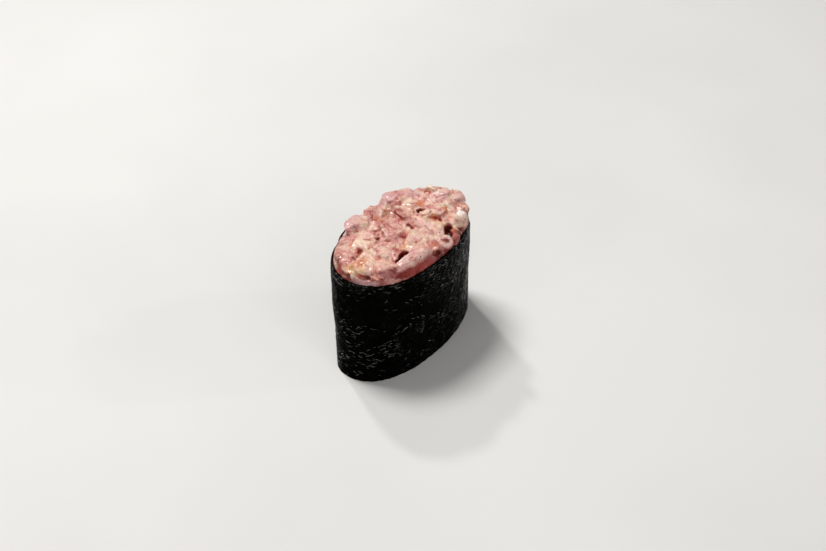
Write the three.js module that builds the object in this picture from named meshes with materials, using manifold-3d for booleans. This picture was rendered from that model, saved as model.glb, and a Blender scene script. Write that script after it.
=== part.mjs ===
// A battleship-style sushi: a strip of nori wrapped round a bed of pressed rice and heaped with
// chopped raw tuna in spicy mayonnaise. Millimetres, +Z up, long axis along X, standing on z = 0
// with the origin under the middle of its box.
import * as THREE from "three";
import { mergeVertices } from "three/addons/utils/BufferGeometryUtils.js";
import Module from "manifold-3d";

const wasm = await Module();
wasm.setup();

// Driving dimensions of the wrap
const BASE_LENGTH = 51.5; // outside of the wrap where it stands
const BASE_WIDTH = 26;
const RIM_LENGTH = 48; // outside of the wrap at its top edge, which the filling spreads
const RIM_WIDTH = 30;
const WRAP_HEIGHT = 32;
const RIM_TILT = 0.03; // rise of the top edge for each millimetre towards +X
const RIM_WAVE = 0.3; // how far the cut edge strays up and down
const LEAN = -1.3; // the rim's middle stands this far along X from the base's middle
const OVAL_POWER = 2.2; // 2 is an ellipse, and more is squarer
const DENT = 0.22; // depth of the shallow hollows that the filling leaves in the sheet
const NORI_THICKNESS = 0.4;
const SEAM_TURN = 0.31; // where the strip starts, as a share of a turn from +X
const SEAM_LAP = 13; // the strip's end lies this far over its start
const SEAM_GAP = 0.12;
const SEAM_RISE = 4; // length over which the end climbs onto the start

// Driving dimensions of the filling
const CLEARANCE = 0.35; // kept between neighbouring pieces
const INSIDE = NORI_THICKNESS + CLEARANCE; // from the wrap's outer face to the filling
const CORE_INSET = 0.05; // a core stands this far inside the room that its pieces are cut to
const RICE_TOP = 17;
const GRAIN = { length: 6.4, width: 3, thickness: 2.6 };
const GRAIN_COUNT = 46;
const GRAIN_SHOW = 1; // how far the lowest grains stand out of the bed's core
const GRAIN_LIFT = 0.31; // middle of a grain above the base, as a share of its thickness
const GRAIN_LIFT_SPREAD = 0.05;
const GRAIN_ROCK = 0.18; // radians that a grain may tip
const OVERHANG = 0.8; // how far tuna may stand outside the wrap, above its rim
const HEAP_EDGE = 1.6; // rise of the heap's core over the rim, next to the wall
const HEAP_SHOULDER = 3.1;
const HEAP_CROWN = 3.7;
const HEAP_ROOM = 12; // the chunks stay below this height over the rim
const CHUNK_LUMPS = 0.07; // share by which a chunk's surface strays from round
const BLOCKINESS = 0.74; // power that turns a ball towards a cut block
const FLATNESS = 0.55; // the same for the top and underside of a chunk with cut faces
const CUT_SIDES = 6; // faces that the knife left round such a chunk, with one more on top
const CUT_STRAY = 0.4; // share of the step between cut sides by which they stray
const SIDE_LEAN = 0.35; // how far a cut side leans out or in
const TOP_LEAN = 0.3; // how far a cut top leans
const CUT_REACH = 0.36; // least distance from the middle to a cut face, as a share of the size
const CUT_SPREAD = 0.1; // share by which that distance grows
const ROLL_SPREAD = 0.2; // radians by which chunks roll
const BIT_COUNT = 22; // places for smaller bits that lie on the chunks
const BIT_SEED = 200; // their seeds start here, past those of the chunks
const BIT_LENGTH = [3.4, 6.2]; // shortest and longest
const BIT_WIDTH = [0.5, 0.8]; // shares of the length
const BIT_THICKNESS = [0.3, 0.45]; // shares of the width
const BIT_INSET = 5; // they keep this far inside the wrap
const BIT_TIP = 0.3; // radians by which they tip
const BIT_LEVEL = 0.88; // they lie on faces whose normals rise at least this much

// Chunks of tuna: middle on plan, its height over the rim, size, and heading and pitch in degrees.
// Round ones have no cut faces, and no bits lie on them or on those kept clear.
const CHUNKS = [
  // The near side, from the long smooth strip on the rim to the pale round lump and the far end
  { x: -11.9, y: -9.9, up: 1.5, size: [14.4, 4.6, 5.6], heading: -8, pitch: 7, isRound: true },
  { x: -4.4, y: -11.2, up: 1.2, size: [5, 4.6, 5], heading: 0 },
  { x: 0.2, y: -12.3, up: 1, size: [4.4, 3.4, 3.6], heading: 5, isRound: true },
  { x: 4.4, y: -12.8, up: 0.7, size: [4.6, 3, 4], heading: 5, isRound: true },
  { x: 10.6, y: -11.2, up: 1.9, size: [4.5, 3.7, 5.7], heading: 20, isRound: true },
  { x: 17, y: -8, up: 1.2, size: [5.4, 4.6, 4.8], heading: 45 },
  // The far end and the far side
  { x: 19.2, y: -4.4, up: 2.2, size: [5.6, 5.2, 5.8], heading: 70 },
  { x: 17, y: -0.2, up: 2.6, size: [8.5, 6.5, 5.8], heading: 100, pitch: -4 },
  { x: 15.4, y: 4.6, up: 2, size: [6.4, 5.2, 5.4], heading: 130, pitch: 5 },
  { x: 12, y: 7.8, up: 2.2, size: [7.6, 6, 5.6], heading: 155 },
  { x: 8.8, y: 9, up: 2.2, size: [8, 6.2, 5.8], heading: 168, isRound: true },
  { x: 0.2, y: 9.4, up: 2, size: [8, 6.2, 5.6], heading: 12, pitch: 6 },
  { x: -7.2, y: 10.3, up: 2.6, size: [8.6, 6.2, 5.4], heading: 4 },
  { x: -12.8, y: 8.8, up: 0.6, size: [8, 6.4, 5.2], heading: 16 },
  { x: -19, y: 6, up: 0.8, size: [7.6, 6.4, 5.2], heading: 40 },
  // The near end, with a lip below a thick ledge
  { x: -22, y: 2.4, up: 0.8, size: [6.6, 5.6, 5.2], heading: 78 },
  { x: -21.2, y: -1.6, up: 1.6, size: [7.6, 6.6, 4.6], heading: 92, isClear: true },
  { x: -21.9, y: -4, up: 0.5, size: [8.2, 4.6, 3.6], heading: 112 },
  { x: -18.6, y: -6.6, up: 1.2, size: [8, 5.8, 5.2], heading: 138 },
  // The middle
  { x: -12.4, y: -1.8, up: 1.9, size: [9, 7, 5.2], heading: 150 },
  { x: -4.4, y: 0.6, up: 2.5, size: [10.6, 8.2, 4.8], heading: 30 },
  { x: -2.8, y: -6.8, up: 2.3, size: [9.4, 6.6, 5], heading: 15 },
  { x: 9, y: -3.8, up: 2.8, size: [8.8, 7.2, 5.2], heading: 160 },
  { x: 3.6, y: -7.2, up: 2.1, size: [5.4, 4.6, 4.8], heading: 60, isClear: true },
  { x: -12.6, y: 4.2, up: 1.7, size: [9, 7, 5], heading: 40, isClear: true },
  { x: 4.4, y: 3.6, up: 2.2, size: [6.6, 5.6, 5], heading: 60 },
  { x: 13.2, y: 0.4, up: 2.9, size: [6.6, 5.6, 4.8], heading: 20 },
  { x: 14.8, y: -3.4, up: 2.9, size: [5.6, 5, 4.6], heading: 130 },
  // A thin flake that stands up at the far end
  { x: 16, y: 1.6, up: 5.6, size: [4.6, 1.4, 0.9], heading: 76, pitch: 12, isClear: true },
];
// Pits between the chunks, given as the chunks are
const PITS = [
  { x: 7.5, y: -1, up: 4, size: [3.4, 1.8, 8], heading: 68 },
  { x: 5, y: -11.2, up: 2.8, size: [5, 2.8, 4.8], heading: 32 },
  { x: -12.5, y: -7.8, up: 2.8, size: [6.6, 1.7, 3.4], heading: 10 },
];

// Mesh fineness
const STRIP_STEPS = 76;
const STRIP_ROWS = 6;
const OVAL_STEPS = 48;
const CHUNK_DETAIL = 2;
const BIT_DETAIL = 1;
const SLIVER = 0.04; // detail finer than this is merged away

const GOLDEN_ANGLE = Math.PI * (3 - Math.sqrt(5));
const { degToRad, lerp, smoothstep } = THREE.MathUtils;

// A repeatable number from 0 to 1 for each item and each of its traits.
function chance(item, trait) {
  const wave = Math.sin(item * 127.1 + trait * 311.7) * 43758.5453;
  return wave - Math.floor(wave);
}

// The same, from -1 to 1.
function either(item, trait) {
  return 2 * chance(item, trait) - 1;
}

// The outline of the wrap on plan, run counter-clockwise from +X.
class Oval extends THREE.Curve {
  constructor(length, width) {
    super();
    this.halfLength = length / 2;
    this.halfWidth = width / 2;
  }

  getPoint(turn, target = new THREE.Vector3()) {
    const along = Math.cos(2 * Math.PI * turn);
    const across = Math.sin(2 * Math.PI * turn);
    const bend = 2 / OVAL_POWER;
    return target.set(
      this.halfLength * Math.sign(along) * Math.abs(along) ** bend,
      this.halfWidth * Math.sign(across) * Math.abs(across) ** bend,
      0,
    );
  }
}

const ovals = new Map();

// The wrap's outline at a level from 0, the base, to 1, the rim.
function ovalAt(level) {
  if (!ovals.has(level)) {
    ovals.set(level, new Oval(lerp(BASE_LENGTH, RIM_LENGTH, level), lerp(BASE_WIDTH, RIM_WIDTH, level)));
  }
  return ovals.get(level);
}

// Height of the wrap's top edge, which tilts along X and wavers where it was cut.
function rimHeight(x, turn) {
  const waver = Math.sin(2 * Math.PI * (3 * turn + 0.1)) + 0.6 * Math.sin(2 * Math.PI * (7 * turn + 0.4));
  return WRAP_HEIGHT + RIM_TILT * x + (RIM_WAVE * waver) / 1.6;
}

// How far the sheet is pushed in or out at a place on the wall.
function dent(turn, level) {
  const broad = Math.sin(2 * Math.PI * (4 * turn + 0.7 * level));
  const narrow = Math.sin(2 * Math.PI * (9 * turn - 1.3 * level + 0.2));
  return DENT * (0.6 * broad + 0.4 * narrow) * Math.sin(Math.PI * level);
}

// A point of the wrap's outer face, moved out along the face's normal on plan.
function wallPoint(turn, level, out) {
  const share = turn - Math.floor(turn);
  const oval = ovalAt(level);
  const point = oval.getPointAt(share);
  const tangent = oval.getTangentAt(share);
  const reach = out + dent(share, level);
  point.x += tangent.y * reach + LEAN * level;
  point.y -= tangent.x * reach;
  point.z = level * rimHeight(point.x, share);
  return point;
}

// Moves every vertex of a geometry in place.
function reshape(geometry, move) {
  const position = geometry.getAttribute("position");
  const vertex = new THREE.Vector3();
  for (let i = 0; i < position.count; i++) {
    vertex.fromBufferAttribute(position, i);
    move(vertex);
    position.setXYZ(i, vertex.x, vertex.y, vertex.z);
  }
  return geometry;
}

// A closed geometry as a solid that can be joined and cut.
function solidOf(geometry) {
  const bare = new THREE.BufferGeometry().setAttribute("position", geometry.getAttribute("position"));
  if (geometry.index) bare.setIndex(geometry.index);
  const merged = mergeVertices(bare, 1e-4);
  return new wasm.Manifold(
    new wasm.Mesh({
      numProp: 3,
      vertProperties: merged.getAttribute("position").array,
      triVerts: Uint32Array.from(merged.index.array),
    }),
  );
}

// A solid's largest body as a geometry, without the scraps and slivers that cutting leaves.
function geometryOf(solid) {
  const bodies = solid.simplify(SLIVER).decompose().sort((a, b) => b.volume() - a.volume());
  const { vertProperties, triVerts } = bodies[0].getMesh();
  const geometry = new THREE.BufferGeometry();
  geometry.setAttribute("position", new THREE.BufferAttribute(Float32Array.from(vertProperties), 3));
  geometry.setIndex(new THREE.BufferAttribute(Uint32Array.from(triVerts), 1));
  geometry.computeVertexNormals();
  return geometry;
}

// A solid through rings that follow the wrap: each has a level, a rise above that level,
// an inset from the wrap's outer face and a share by which it is drawn in to the middle.
function ovalLoft(rings) {
  const rows = rings.length - 1;
  const drum = new THREE.CylinderGeometry(1, 1, rows, OVAL_STEPS, rows).rotateX(Math.PI / 2);
  return reshape(drum, (vertex) => {
    const { level, rise = 0, inset, share = 1 } = rings[Math.round(vertex.z + rows / 2)];
    const turn = Math.atan2(vertex.y, vertex.x) / (2 * Math.PI);
    const radius = Math.round(Math.hypot(vertex.x, vertex.y)) * share;
    const wall = wallPoint(turn, level, -inset);
    const middle = new THREE.Vector3(LEAN * level, 0, level * WRAP_HEIGHT);
    vertex.lerpVectors(middle, wall, radius);
    vertex.z += rise;
  });
}

// Places spread evenly over the oval as seeds are in a sunflower, from 0 in the middle to 1 at the edge.
function sunflower(count) {
  return Array.from({ length: count }, (_, index) => ({
    index,
    radius: Math.sqrt(index / (count - 1)),
    angle: index * GOLDEN_ANGLE,
  }));
}

// The flat strip of nori, rolled round the filling with its end lapped over its start.
function noriStrip() {
  const around = ovalAt(0.5).getLength();
  const length = around + SEAM_LAP;
  const strip = new THREE.BoxGeometry(length, NORI_THICKNESS, 1, STRIP_STEPS, 1, STRIP_ROWS);
  return reshape(strip, (vertex) => {
    const along = vertex.x + length / 2;
    const lap = smoothstep(along, around - SEAM_RISE, around) * (NORI_THICKNESS + SEAM_GAP);
    const out = vertex.y - NORI_THICKNESS / 2 + lap;
    vertex.copy(wallPoint(SEAM_TURN - along / around, vertex.z + 0.5, out));
  });
}

// One cooked grain, lying on the base and pressed flat by it.
function riceGrain({ index, radius, angle }) {
  const inset = INSIDE + GRAIN.width / 3;
  const grain = new THREE.SphereGeometry(0.5, 5, 4).rotateZ(Math.PI / 2);
  grain.scale(GRAIN.length, GRAIN.width, GRAIN.thickness);
  grain.rotateY(GRAIN_ROCK * either(index, 1));
  grain.rotateZ(Math.PI * chance(index, 2));
  return grain.translate(
    radius * (BASE_LENGTH / 2 - inset) * Math.cos(angle),
    radius * (BASE_WIDTH / 2 - inset) * Math.sin(angle),
    GRAIN.thickness * (GRAIN_LIFT + GRAIN_LIFT_SPREAD * either(index, 3)),
  );
}

// The pressed bed: a plain core, and the grains that show underneath.
function riceBed() {
  const top = RICE_TOP / WRAP_HEIGHT;
  const core = ovalLoft([
    { level: GRAIN_SHOW / WRAP_HEIGHT, inset: INSIDE + CORE_INSET },
    { level: top, inset: INSIDE + CORE_INSET },
  ]);
  const room = ovalLoft([
    { level: 0, inset: INSIDE },
    { level: top, inset: INSIDE },
  ]);
  const grains = sunflower(GRAIN_COUNT).map((place) => solidOf(riceGrain(place)));
  const heap = grains.reduce((joined, grain) => joined.add(grain), solidOf(core));
  return geometryOf(heap.intersect(solidOf(room)));
}

// The faces that a knife left on a chunk cut from a ball one across: the sides in turn, then the top.
function knifeCuts(seed) {
  return Array.from({ length: CUT_SIDES + 1 }, (_, cut) => {
    const turn = (2 * Math.PI * (cut + CUT_STRAY * either(seed, 70 + cut))) / CUT_SIDES;
    const facing =
      cut < CUT_SIDES
        ? new THREE.Vector3(Math.cos(turn), Math.sin(turn), SIDE_LEAN * either(seed, 80 + cut))
        : new THREE.Vector3(TOP_LEAN * either(seed, 91), TOP_LEAN * either(seed, 92), 1);
    return new THREE.Plane(facing.normalize(), -CUT_REACH - CUT_SPREAD * chance(seed, 95 + cut));
  });
}

// A coordinate of a ball one across, moved out towards a block.
function squared(coordinate, power) {
  return (Math.sign(coordinate) * Math.abs(2 * coordinate) ** power) / 2;
}

// A ball one across, made lumpy, squared towards a block and, unless it stays round, cut flat.
function cutBall(seed, detail, isRound = false) {
  const cuts = isRound ? [] : knifeCuts(seed);
  return reshape(new THREE.IcosahedronGeometry(0.5, detail), (vertex) => {
    const lump =
      Math.sin(7 * vertex.x + 9 * chance(seed, 11)) +
      Math.sin(8 * vertex.y + 9 * chance(seed, 12)) +
      Math.sin(6 * vertex.z + 9 * chance(seed, 13));
    vertex.x = squared(vertex.x, BLOCKINESS);
    vertex.y = squared(vertex.y, BLOCKINESS);
    vertex.z = squared(vertex.z, isRound ? BLOCKINESS : FLATNESS);
    vertex.multiplyScalar(1 + (CHUNK_LUMPS * lump) / 2);
    for (const plane of cuts) {
      vertex.addScaledVector(plane.normal, -Math.max(plane.distanceToPoint(vertex), 0));
    }
  });
}

// One chunk of tuna, laid down at its place in the heap.
function tunaChunk(seed, { x, y, up, size, heading, pitch = 0, isRound }) {
  const chunk = cutBall(seed, CHUNK_DETAIL, isRound);
  chunk.scale(...size);
  chunk.rotateX(ROLL_SPREAD * either(seed, 14));
  chunk.rotateY(degToRad(-pitch));
  chunk.rotateZ(degToRad(heading));
  return chunk.translate(x, y, WRAP_HEIGHT + up);
}

// One smaller bit, half sunk where it lies.
function tunaBit(seed, place, normal) {
  const length = lerp(...BIT_LENGTH, chance(seed, 61));
  const width = length * lerp(...BIT_WIDTH, chance(seed, 62));
  const thickness = width * lerp(...BIT_THICKNESS, chance(seed, 63));
  const bit = cutBall(seed, BIT_DETAIL);
  bit.scale(length, width, thickness);
  bit.rotateY(BIT_TIP * either(seed, 66));
  bit.rotateZ(2 * Math.PI * chance(seed, 65));
  bit.applyQuaternion(new THREE.Quaternion().setFromUnitVectors(new THREE.Vector3(0, 0, 1), normal));
  return bit.translate(place.x, place.y, place.z);
}

// The smaller bits, where rays from above meet the core or a chunk, neither steep nor kept clear.
function tunaBits(core, chunks) {
  const grounds = [core, ...chunks].map((geometry) => new THREE.Mesh(geometry));
  const ray = new THREE.Raycaster();
  const down = new THREE.Vector3(0, 0, -1);
  const bits = [];
  for (const { index, radius, angle } of sunflower(BIT_COUNT)) {
    const x = LEAN + radius * (RIM_LENGTH / 2 - BIT_INSET) * Math.cos(angle);
    const y = radius * (RIM_WIDTH / 2 - BIT_INSET) * Math.sin(angle);
    ray.set(new THREE.Vector3(x, y, WRAP_HEIGHT + HEAP_ROOM), down);
    const [{ object, point, face }] = ray.intersectObjects(grounds);
    const owner = CHUNKS[chunks.indexOf(object.geometry)];
    if (owner?.isRound || owner?.isClear || face.normal.z < BIT_LEVEL) continue;
    bits.push(tunaBit(BIT_SEED + index, point, face.normal));
  }
  return bits;
}

// The topping: a plug inside the wrap, the chunks heaped on it and the pits left between them.
function tunaTopping() {
  const floor = (RICE_TOP + CLEARANCE) / WRAP_HEIGHT;
  const inset = INSIDE + CORE_INSET;
  const core = ovalLoft([
    { level: floor, inset },
    { level: 1, inset },
    { level: 1, rise: HEAP_EDGE, inset, share: 0.96 },
    { level: 1, rise: HEAP_SHOULDER, inset, share: 0.82 },
    { level: 1, rise: HEAP_CROWN, inset, share: 0.45 },
  ]);
  const room = ovalLoft([
    { level: floor, inset: INSIDE },
    { level: 1, rise: CLEARANCE, inset: INSIDE },
    { level: 1, rise: CLEARANCE, inset: -OVERHANG },
    { level: 1, rise: HEAP_ROOM, inset: -OVERHANG },
  ]);
  const chunks = CHUNKS.map((chunk, seed) => tunaChunk(seed, chunk));
  const pieces = [core, ...chunks, ...tunaBits(core, chunks)].map(solidOf);
  const pits = PITS.map((pit, seed) => solidOf(tunaChunk(seed, { ...pit, isRound: true })));
  const heap = pieces.reduce((joined, next) => joined.add(next));
  const pitted = pits.reduce((left, pit) => left.subtract(pit), heap);
  return geometryOf(pitted.intersect(solidOf(room)));
}

function piece(name, geometry, material) {
  const mesh = new THREE.Mesh(geometry, new THREE.MeshStandardMaterial({ metalness: 0, ...material }));
  mesh.name = name;
  return mesh;
}

const sushi = new THREE.Group();
sushi.add(
  piece("nori_wrap", noriStrip(), { color: 0x0c110d, roughness: 0.45 }),
  piece("rice_bed", riceBed(), { color: 0xece7da, roughness: 0.4 }),
  piece("tuna_topping", tunaTopping(), { color: 0xd9a294, roughness: 0.35 }),
);

// The origin goes under the middle of the whole box, on the surface that the sushi stands on.
const box = new THREE.Box3().setFromObject(sushi, true);
const middle = box.getCenter(new THREE.Vector3());
sushi.position.set(-middle.x, -middle.y, -box.min.z);

export default sushi;
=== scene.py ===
"""Dresses a nori-wrapped piece of sushi that is heaped with chopped tuna in spicy mayonnaise.

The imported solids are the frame. Each sub-assembly below stands for one of them: the nori band, the bed
of rice and the tuna heap with its spices. Shapes are worked out in millimetres and made metres at the end.
"""

import logging
import math
from collections.abc import Callable
from dataclasses import dataclass, field
from enum import Enum

import bmesh
import bpy
import numpy as np
from mathutils import Matrix, Vector, noise
from mathutils.bvhtree import BVHTree


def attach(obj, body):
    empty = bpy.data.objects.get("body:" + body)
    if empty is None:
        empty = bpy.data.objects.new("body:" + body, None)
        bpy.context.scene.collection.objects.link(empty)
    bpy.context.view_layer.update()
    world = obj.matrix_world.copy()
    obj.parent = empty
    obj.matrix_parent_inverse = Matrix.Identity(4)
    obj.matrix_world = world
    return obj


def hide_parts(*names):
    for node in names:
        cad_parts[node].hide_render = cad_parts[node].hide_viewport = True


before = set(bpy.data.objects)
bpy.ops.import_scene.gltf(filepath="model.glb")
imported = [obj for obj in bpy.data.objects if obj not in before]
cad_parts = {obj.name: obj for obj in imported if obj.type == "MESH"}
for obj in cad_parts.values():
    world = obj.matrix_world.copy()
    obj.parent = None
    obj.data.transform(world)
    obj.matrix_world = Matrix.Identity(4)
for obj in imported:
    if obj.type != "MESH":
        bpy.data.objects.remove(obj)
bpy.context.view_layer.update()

LOG = logging.getLogger("sushi")
MM = 0.001
BODY = "root"
IMAGE_WIDTH = 826
IMAGE_HEIGHT = 551
GOLDEN_ANGLE = math.pi * (3 - math.sqrt(5))
NO_TINT = "#ffffff"

# Settings of a Mix node that covers or multiplies colours, and the numbers of its colour sockets
COVER = {"data_type": "RGBA"}
MULTIPLY = {"data_type": "RGBA", "blend_type": "MULTIPLY"}
MIX_A = 6
MIX_B = 7


class Coat(Enum):
    """How far the dressing draws back from a chunk of tuna, in mm; below zero it stands over it."""

    BARE = 0.8
    THIN = 0.36
    DRESSED = 0.16
    CREAMY = -0.05


class Tint(Enum):
    """Colours that the dressed tuna takes in places."""

    OIL = "#cf7c4a"
    YELLOW = "#e9be86"
    CREAM = "#f5e2c8"
    # Whiter top of the pale bulge: its own pale dressing with a painted highlight
    WHITE_AND_HIGHLIGHT = "#fffaf8"
    # Brown spots, and brown painted shade in the groove beside the pointed lump
    BROWN_AND_SHADE = "#96573e"
    ROSE = "#d99a96"
    LILAC = "#d8b2b5"
    # Red flesh, also used as deep red painted shade in dips and on the near side
    RED_FLESH_AND_SHADE = "#a8403a"
    # Painted shade in the deepest gaps and recesses
    MAROON_SHADE = "#6a161a"
    SALMON = "#c4705a"


def chance(item: int, trait: int) -> float:
    """Return a repeatable number from 0 to 1 for one trait of one item."""
    wave = math.sin(item * 127.1 + trait * 311.7) * 43758.5453
    return wave - math.floor(wave)


def either(item: int, trait: int) -> float:
    """Return a repeatable number from -1 to 1 for one trait of one item."""
    return 2 * chance(item, trait) - 1


def spiral(index: int, count: int) -> tuple[float, float]:
    """Return one of many places that a spiral spreads evenly over a disc of radius 1."""
    radius = math.sqrt(index / (count - 1))
    return radius * math.cos(index * GOLDEN_ANGLE), radius * math.sin(index * GOLDEN_ANGLE)


def smoothstep(value: np.ndarray, low: float, high: float) -> np.ndarray:
    """Return 0 below low, 1 above high and a smooth rise between them."""
    share = np.clip((value - low) / (high - low), 0, 1)
    return share * share * (3 - 2 * share)


def linear(colour: str) -> tuple[float, float, float, float]:
    """Turn an sRGB hex colour into the linear colour that shaders take.

    Args:
        colour: The hex colour.

    Returns:
        Red, green, blue and a full alpha.
    """
    parts = [int(colour[i : i + 2], 16) / 255 for i in (1, 3, 5)]
    channels = [p / 12.92 if p <= 0.04045 else ((p + 0.055) / 1.055) ** 2.4 for p in parts]
    return (*channels, 1.0)


@dataclass(frozen=True)
class Grain:
    """Smooth noise: the width of its features in mm, its own seed, its layers and its strength."""

    size: float
    seed: float
    layers: int = 1
    strength: float = 1.0

    def at(self, points: np.ndarray) -> np.ndarray:
        """Work out the noise.

        Args:
            points: Places in mm, one a row.

        Returns:
            A number for each, about -1 to 1 times the strength.
        """
        shifted = points / self.size + np.array([self.seed, 1.7 * self.seed, -0.6 * self.seed])
        if self.layers == 1:
            values = [noise.noise(place) for place in shifted]
        else:
            values = [noise.fractal(place, 1.0, 2.0, self.layers) for place in shifted]
        return self.strength * np.array(values)


@dataclass(frozen=True)
class Scatter:
    """Small things that are strewn: their number, the least and the greatest width in mm, and a seed."""

    count: int
    smallest: float
    largest: float
    seed: int

    def between(self, share: float) -> float:
        """Return the width at a share of the way from the smallest to the largest."""
        return self.smallest + (self.largest - self.smallest) * share


def add_node(
    tree: bpy.types.NodeTree,
    kind: str,
    settings: dict | None = None,
    inputs: dict | None = None,
    stops: dict | None = None,
) -> bpy.types.Node:
    """Add a shader node, set its options and fill or link its sockets.

    Args:
        tree: Node tree of the material.
        kind: The node's type, without its ShaderNode prefix.
        settings: Options of the node itself.
        inputs: For each input's name or number a value, an output to link, or a node for its first output.
        stops: Colours of a colour ramp, by their positions.

    Returns:
        The new node.
    """
    made = tree.nodes.new("ShaderNode" + kind)
    for name, value in (settings or {}).items():
        setattr(made, name, value)
    for socket, value in (inputs or {}).items():
        if isinstance(value, bpy.types.Node):
            value = next(output for output in value.outputs if output.enabled)
        if isinstance(value, bpy.types.NodeSocket):
            tree.links.new(value, made.inputs[socket])
        else:
            made.inputs[socket].default_value = value
    for index, (position, colour) in enumerate((stops or {}).items()):
        elements = made.color_ramp.elements
        stop = elements[index] if index < 2 else elements.new(position)
        stop.position = position
        stop.color = linear(colour)
    return made


def new_material(name: str) -> tuple[bpy.types.Material, bpy.types.NodeTree]:
    """Make an empty node material.

    Args:
        name: Its name.

    Returns:
        The material and its node tree.
    """
    material = bpy.data.materials.new(name)
    material.use_nodes = True
    material.node_tree.nodes.clear()
    return material, material.node_tree


def close_material(tree: bpy.types.NodeTree, surface: dict) -> None:
    """Add the surface shader with its values and links, and the output."""
    shader = add_node(tree, "BsdfPrincipled", inputs=surface)
    add_node(tree, "OutputMaterial", inputs={"Surface": shader})


def new_object(name: str, data: bpy.types.ID) -> bpy.types.Object:
    """Make an object and link it to the scene.

    Args:
        name: Its name.
        data: Its mesh, light or camera.

    Returns:
        The object.
    """
    made = bpy.data.objects.new(name, data)
    bpy.context.scene.collection.objects.link(made)
    return made


def mesh_of(bm: bmesh.types.BMesh, name: str) -> bpy.types.Mesh:
    """Turn a bmesh into a mesh.

    Args:
        bm: The bmesh, which is freed.
        name: The mesh's name.

    Returns:
        The mesh.
    """
    mesh = bpy.data.meshes.new(name)
    bm.to_mesh(mesh)
    bm.free()
    return mesh


def rows_of(items: bpy.types.bpy_prop_collection, name: str) -> np.ndarray:
    """Read a property of three numbers of a mesh's items.

    Args:
        items: The vertices, or another of the mesh's lists.
        name: The property.

    Returns:
        Its values, one item a row.
    """
    flat = np.empty(3 * len(items), np.float32)
    items.foreach_get(name, flat)
    return flat.reshape(-1, 3).astype(float)


def points_of(mesh: bpy.types.Mesh) -> np.ndarray:
    """Return a mesh's vertices, one a row."""
    return rows_of(mesh.vertices, "co")


def normals_of(mesh: bpy.types.Mesh) -> np.ndarray:
    """Return a mesh's vertex normals, one a row."""
    return rows_of(mesh.vertex_normals, "vector")


def set_points(mesh: bpy.types.Mesh, points: np.ndarray) -> None:
    """Move a mesh's vertices to new places."""
    mesh.vertices.foreach_set("co", points.astype(np.float32).ravel())
    mesh.update()


def set_attribute(mesh: bpy.types.Mesh, name: str, values: np.ndarray) -> None:
    """Store values for each vertex that a material reads.

    Args:
        mesh: The mesh.
        name: The attribute's name.
        values: A number, a vector or a colour for each vertex.
    """
    kinds = {1: ("FLOAT", "value"), 3: ("FLOAT_VECTOR", "vector"), 4: ("FLOAT_COLOR", "color")}
    kind, part = kinds[1 if values.ndim == 1 else values.shape[1]]
    attribute = mesh.attributes.new(name, kind, "POINT")
    attribute.data.foreach_set(part, values.astype(np.float32).ravel())


def with_modifier(mesh: bpy.types.Mesh, kind: str, **settings: object) -> bpy.types.Mesh:
    """Return a new mesh that one modifier makes from another.

    Args:
        mesh: The mesh to change, which is removed.
        kind: The modifier's type.
        settings: The modifier's options.

    Returns:
        The changed mesh.
    """
    holder = new_object("holder", mesh)
    modifier = holder.modifiers.new(kind.lower(), kind)
    for name, value in settings.items():
        setattr(modifier, name, value)
    graph = bpy.context.evaluated_depsgraph_get()
    made = bpy.data.meshes.new_from_object(holder.evaluated_get(graph))
    bpy.data.objects.remove(holder)
    bpy.data.meshes.remove(mesh)
    return made


def voxel_skin(mesh: bpy.types.Mesh, voxel: float) -> bpy.types.Mesh:
    """Return one even closed skin round everything in a mesh, which is removed."""
    return with_modifier(mesh, "REMESH", mode="VOXEL", voxel_size=voxel, use_smooth_shade=True)


def closed_skin(mesh: bpy.types.Mesh, radius: float, voxel: float) -> bpy.types.Mesh:
    """Return a copy of a mesh in which gaps narrower than a ball are filled.

    Args:
        mesh: The mesh, which is kept.
        radius: The ball's radius in mm.
        voxel: Fineness of the copy in mm.

    Returns:
        The filled copy.
    """
    swollen = mesh.copy()
    set_points(swollen, points_of(mesh) + radius * normals_of(mesh))
    filled = voxel_skin(swollen, voxel)
    set_points(filled, points_of(filled) - radius * normals_of(filled))
    return filled


def relax(mesh: bpy.types.Mesh) -> None:
    """Smooth a mesh's vertices once.

    Args:
        mesh: The mesh, which is changed.
    """
    bm = bmesh.new()
    bm.from_mesh(mesh)
    axes = {"use_axis_x": True, "use_axis_y": True, "use_axis_z": True}
    bmesh.ops.smooth_vert(bm, verts=bm.verts, factor=0.5, **axes)
    bm.to_mesh(mesh)
    bm.free()
    mesh.update()


def tree_of(mesh: bpy.types.Mesh) -> BVHTree:
    """Return a search tree of a mesh's faces."""
    polygons = [tuple(polygon.vertices) for polygon in mesh.polygons]
    return BVHTree.FromPolygons([tuple(p) for p in points_of(mesh)], polygons)


def gap_to(points: np.ndarray, tree: BVHTree) -> np.ndarray:
    """Return each point's distance to the nearest face of a search tree."""
    return np.array([tree.find_nearest(Vector(p))[3] for p in points])


def add_ball(bm: bmesh.types.BMesh, detail: int, shape: Callable[[np.ndarray], np.ndarray]) -> None:
    """Add a ball of radius one half to a bmesh and reshape it.

    Args:
        bm: The bmesh to add to.
        detail: How often the ball's faces are split.
        shape: Gives the new places of the ball's points.
    """
    made = bmesh.ops.create_icosphere(bm, subdivisions=detail, radius=0.5)["verts"]
    places = shape(np.array([vertex.co for vertex in made]))
    for vertex, place in zip(made, places):
        vertex.co = place


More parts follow.
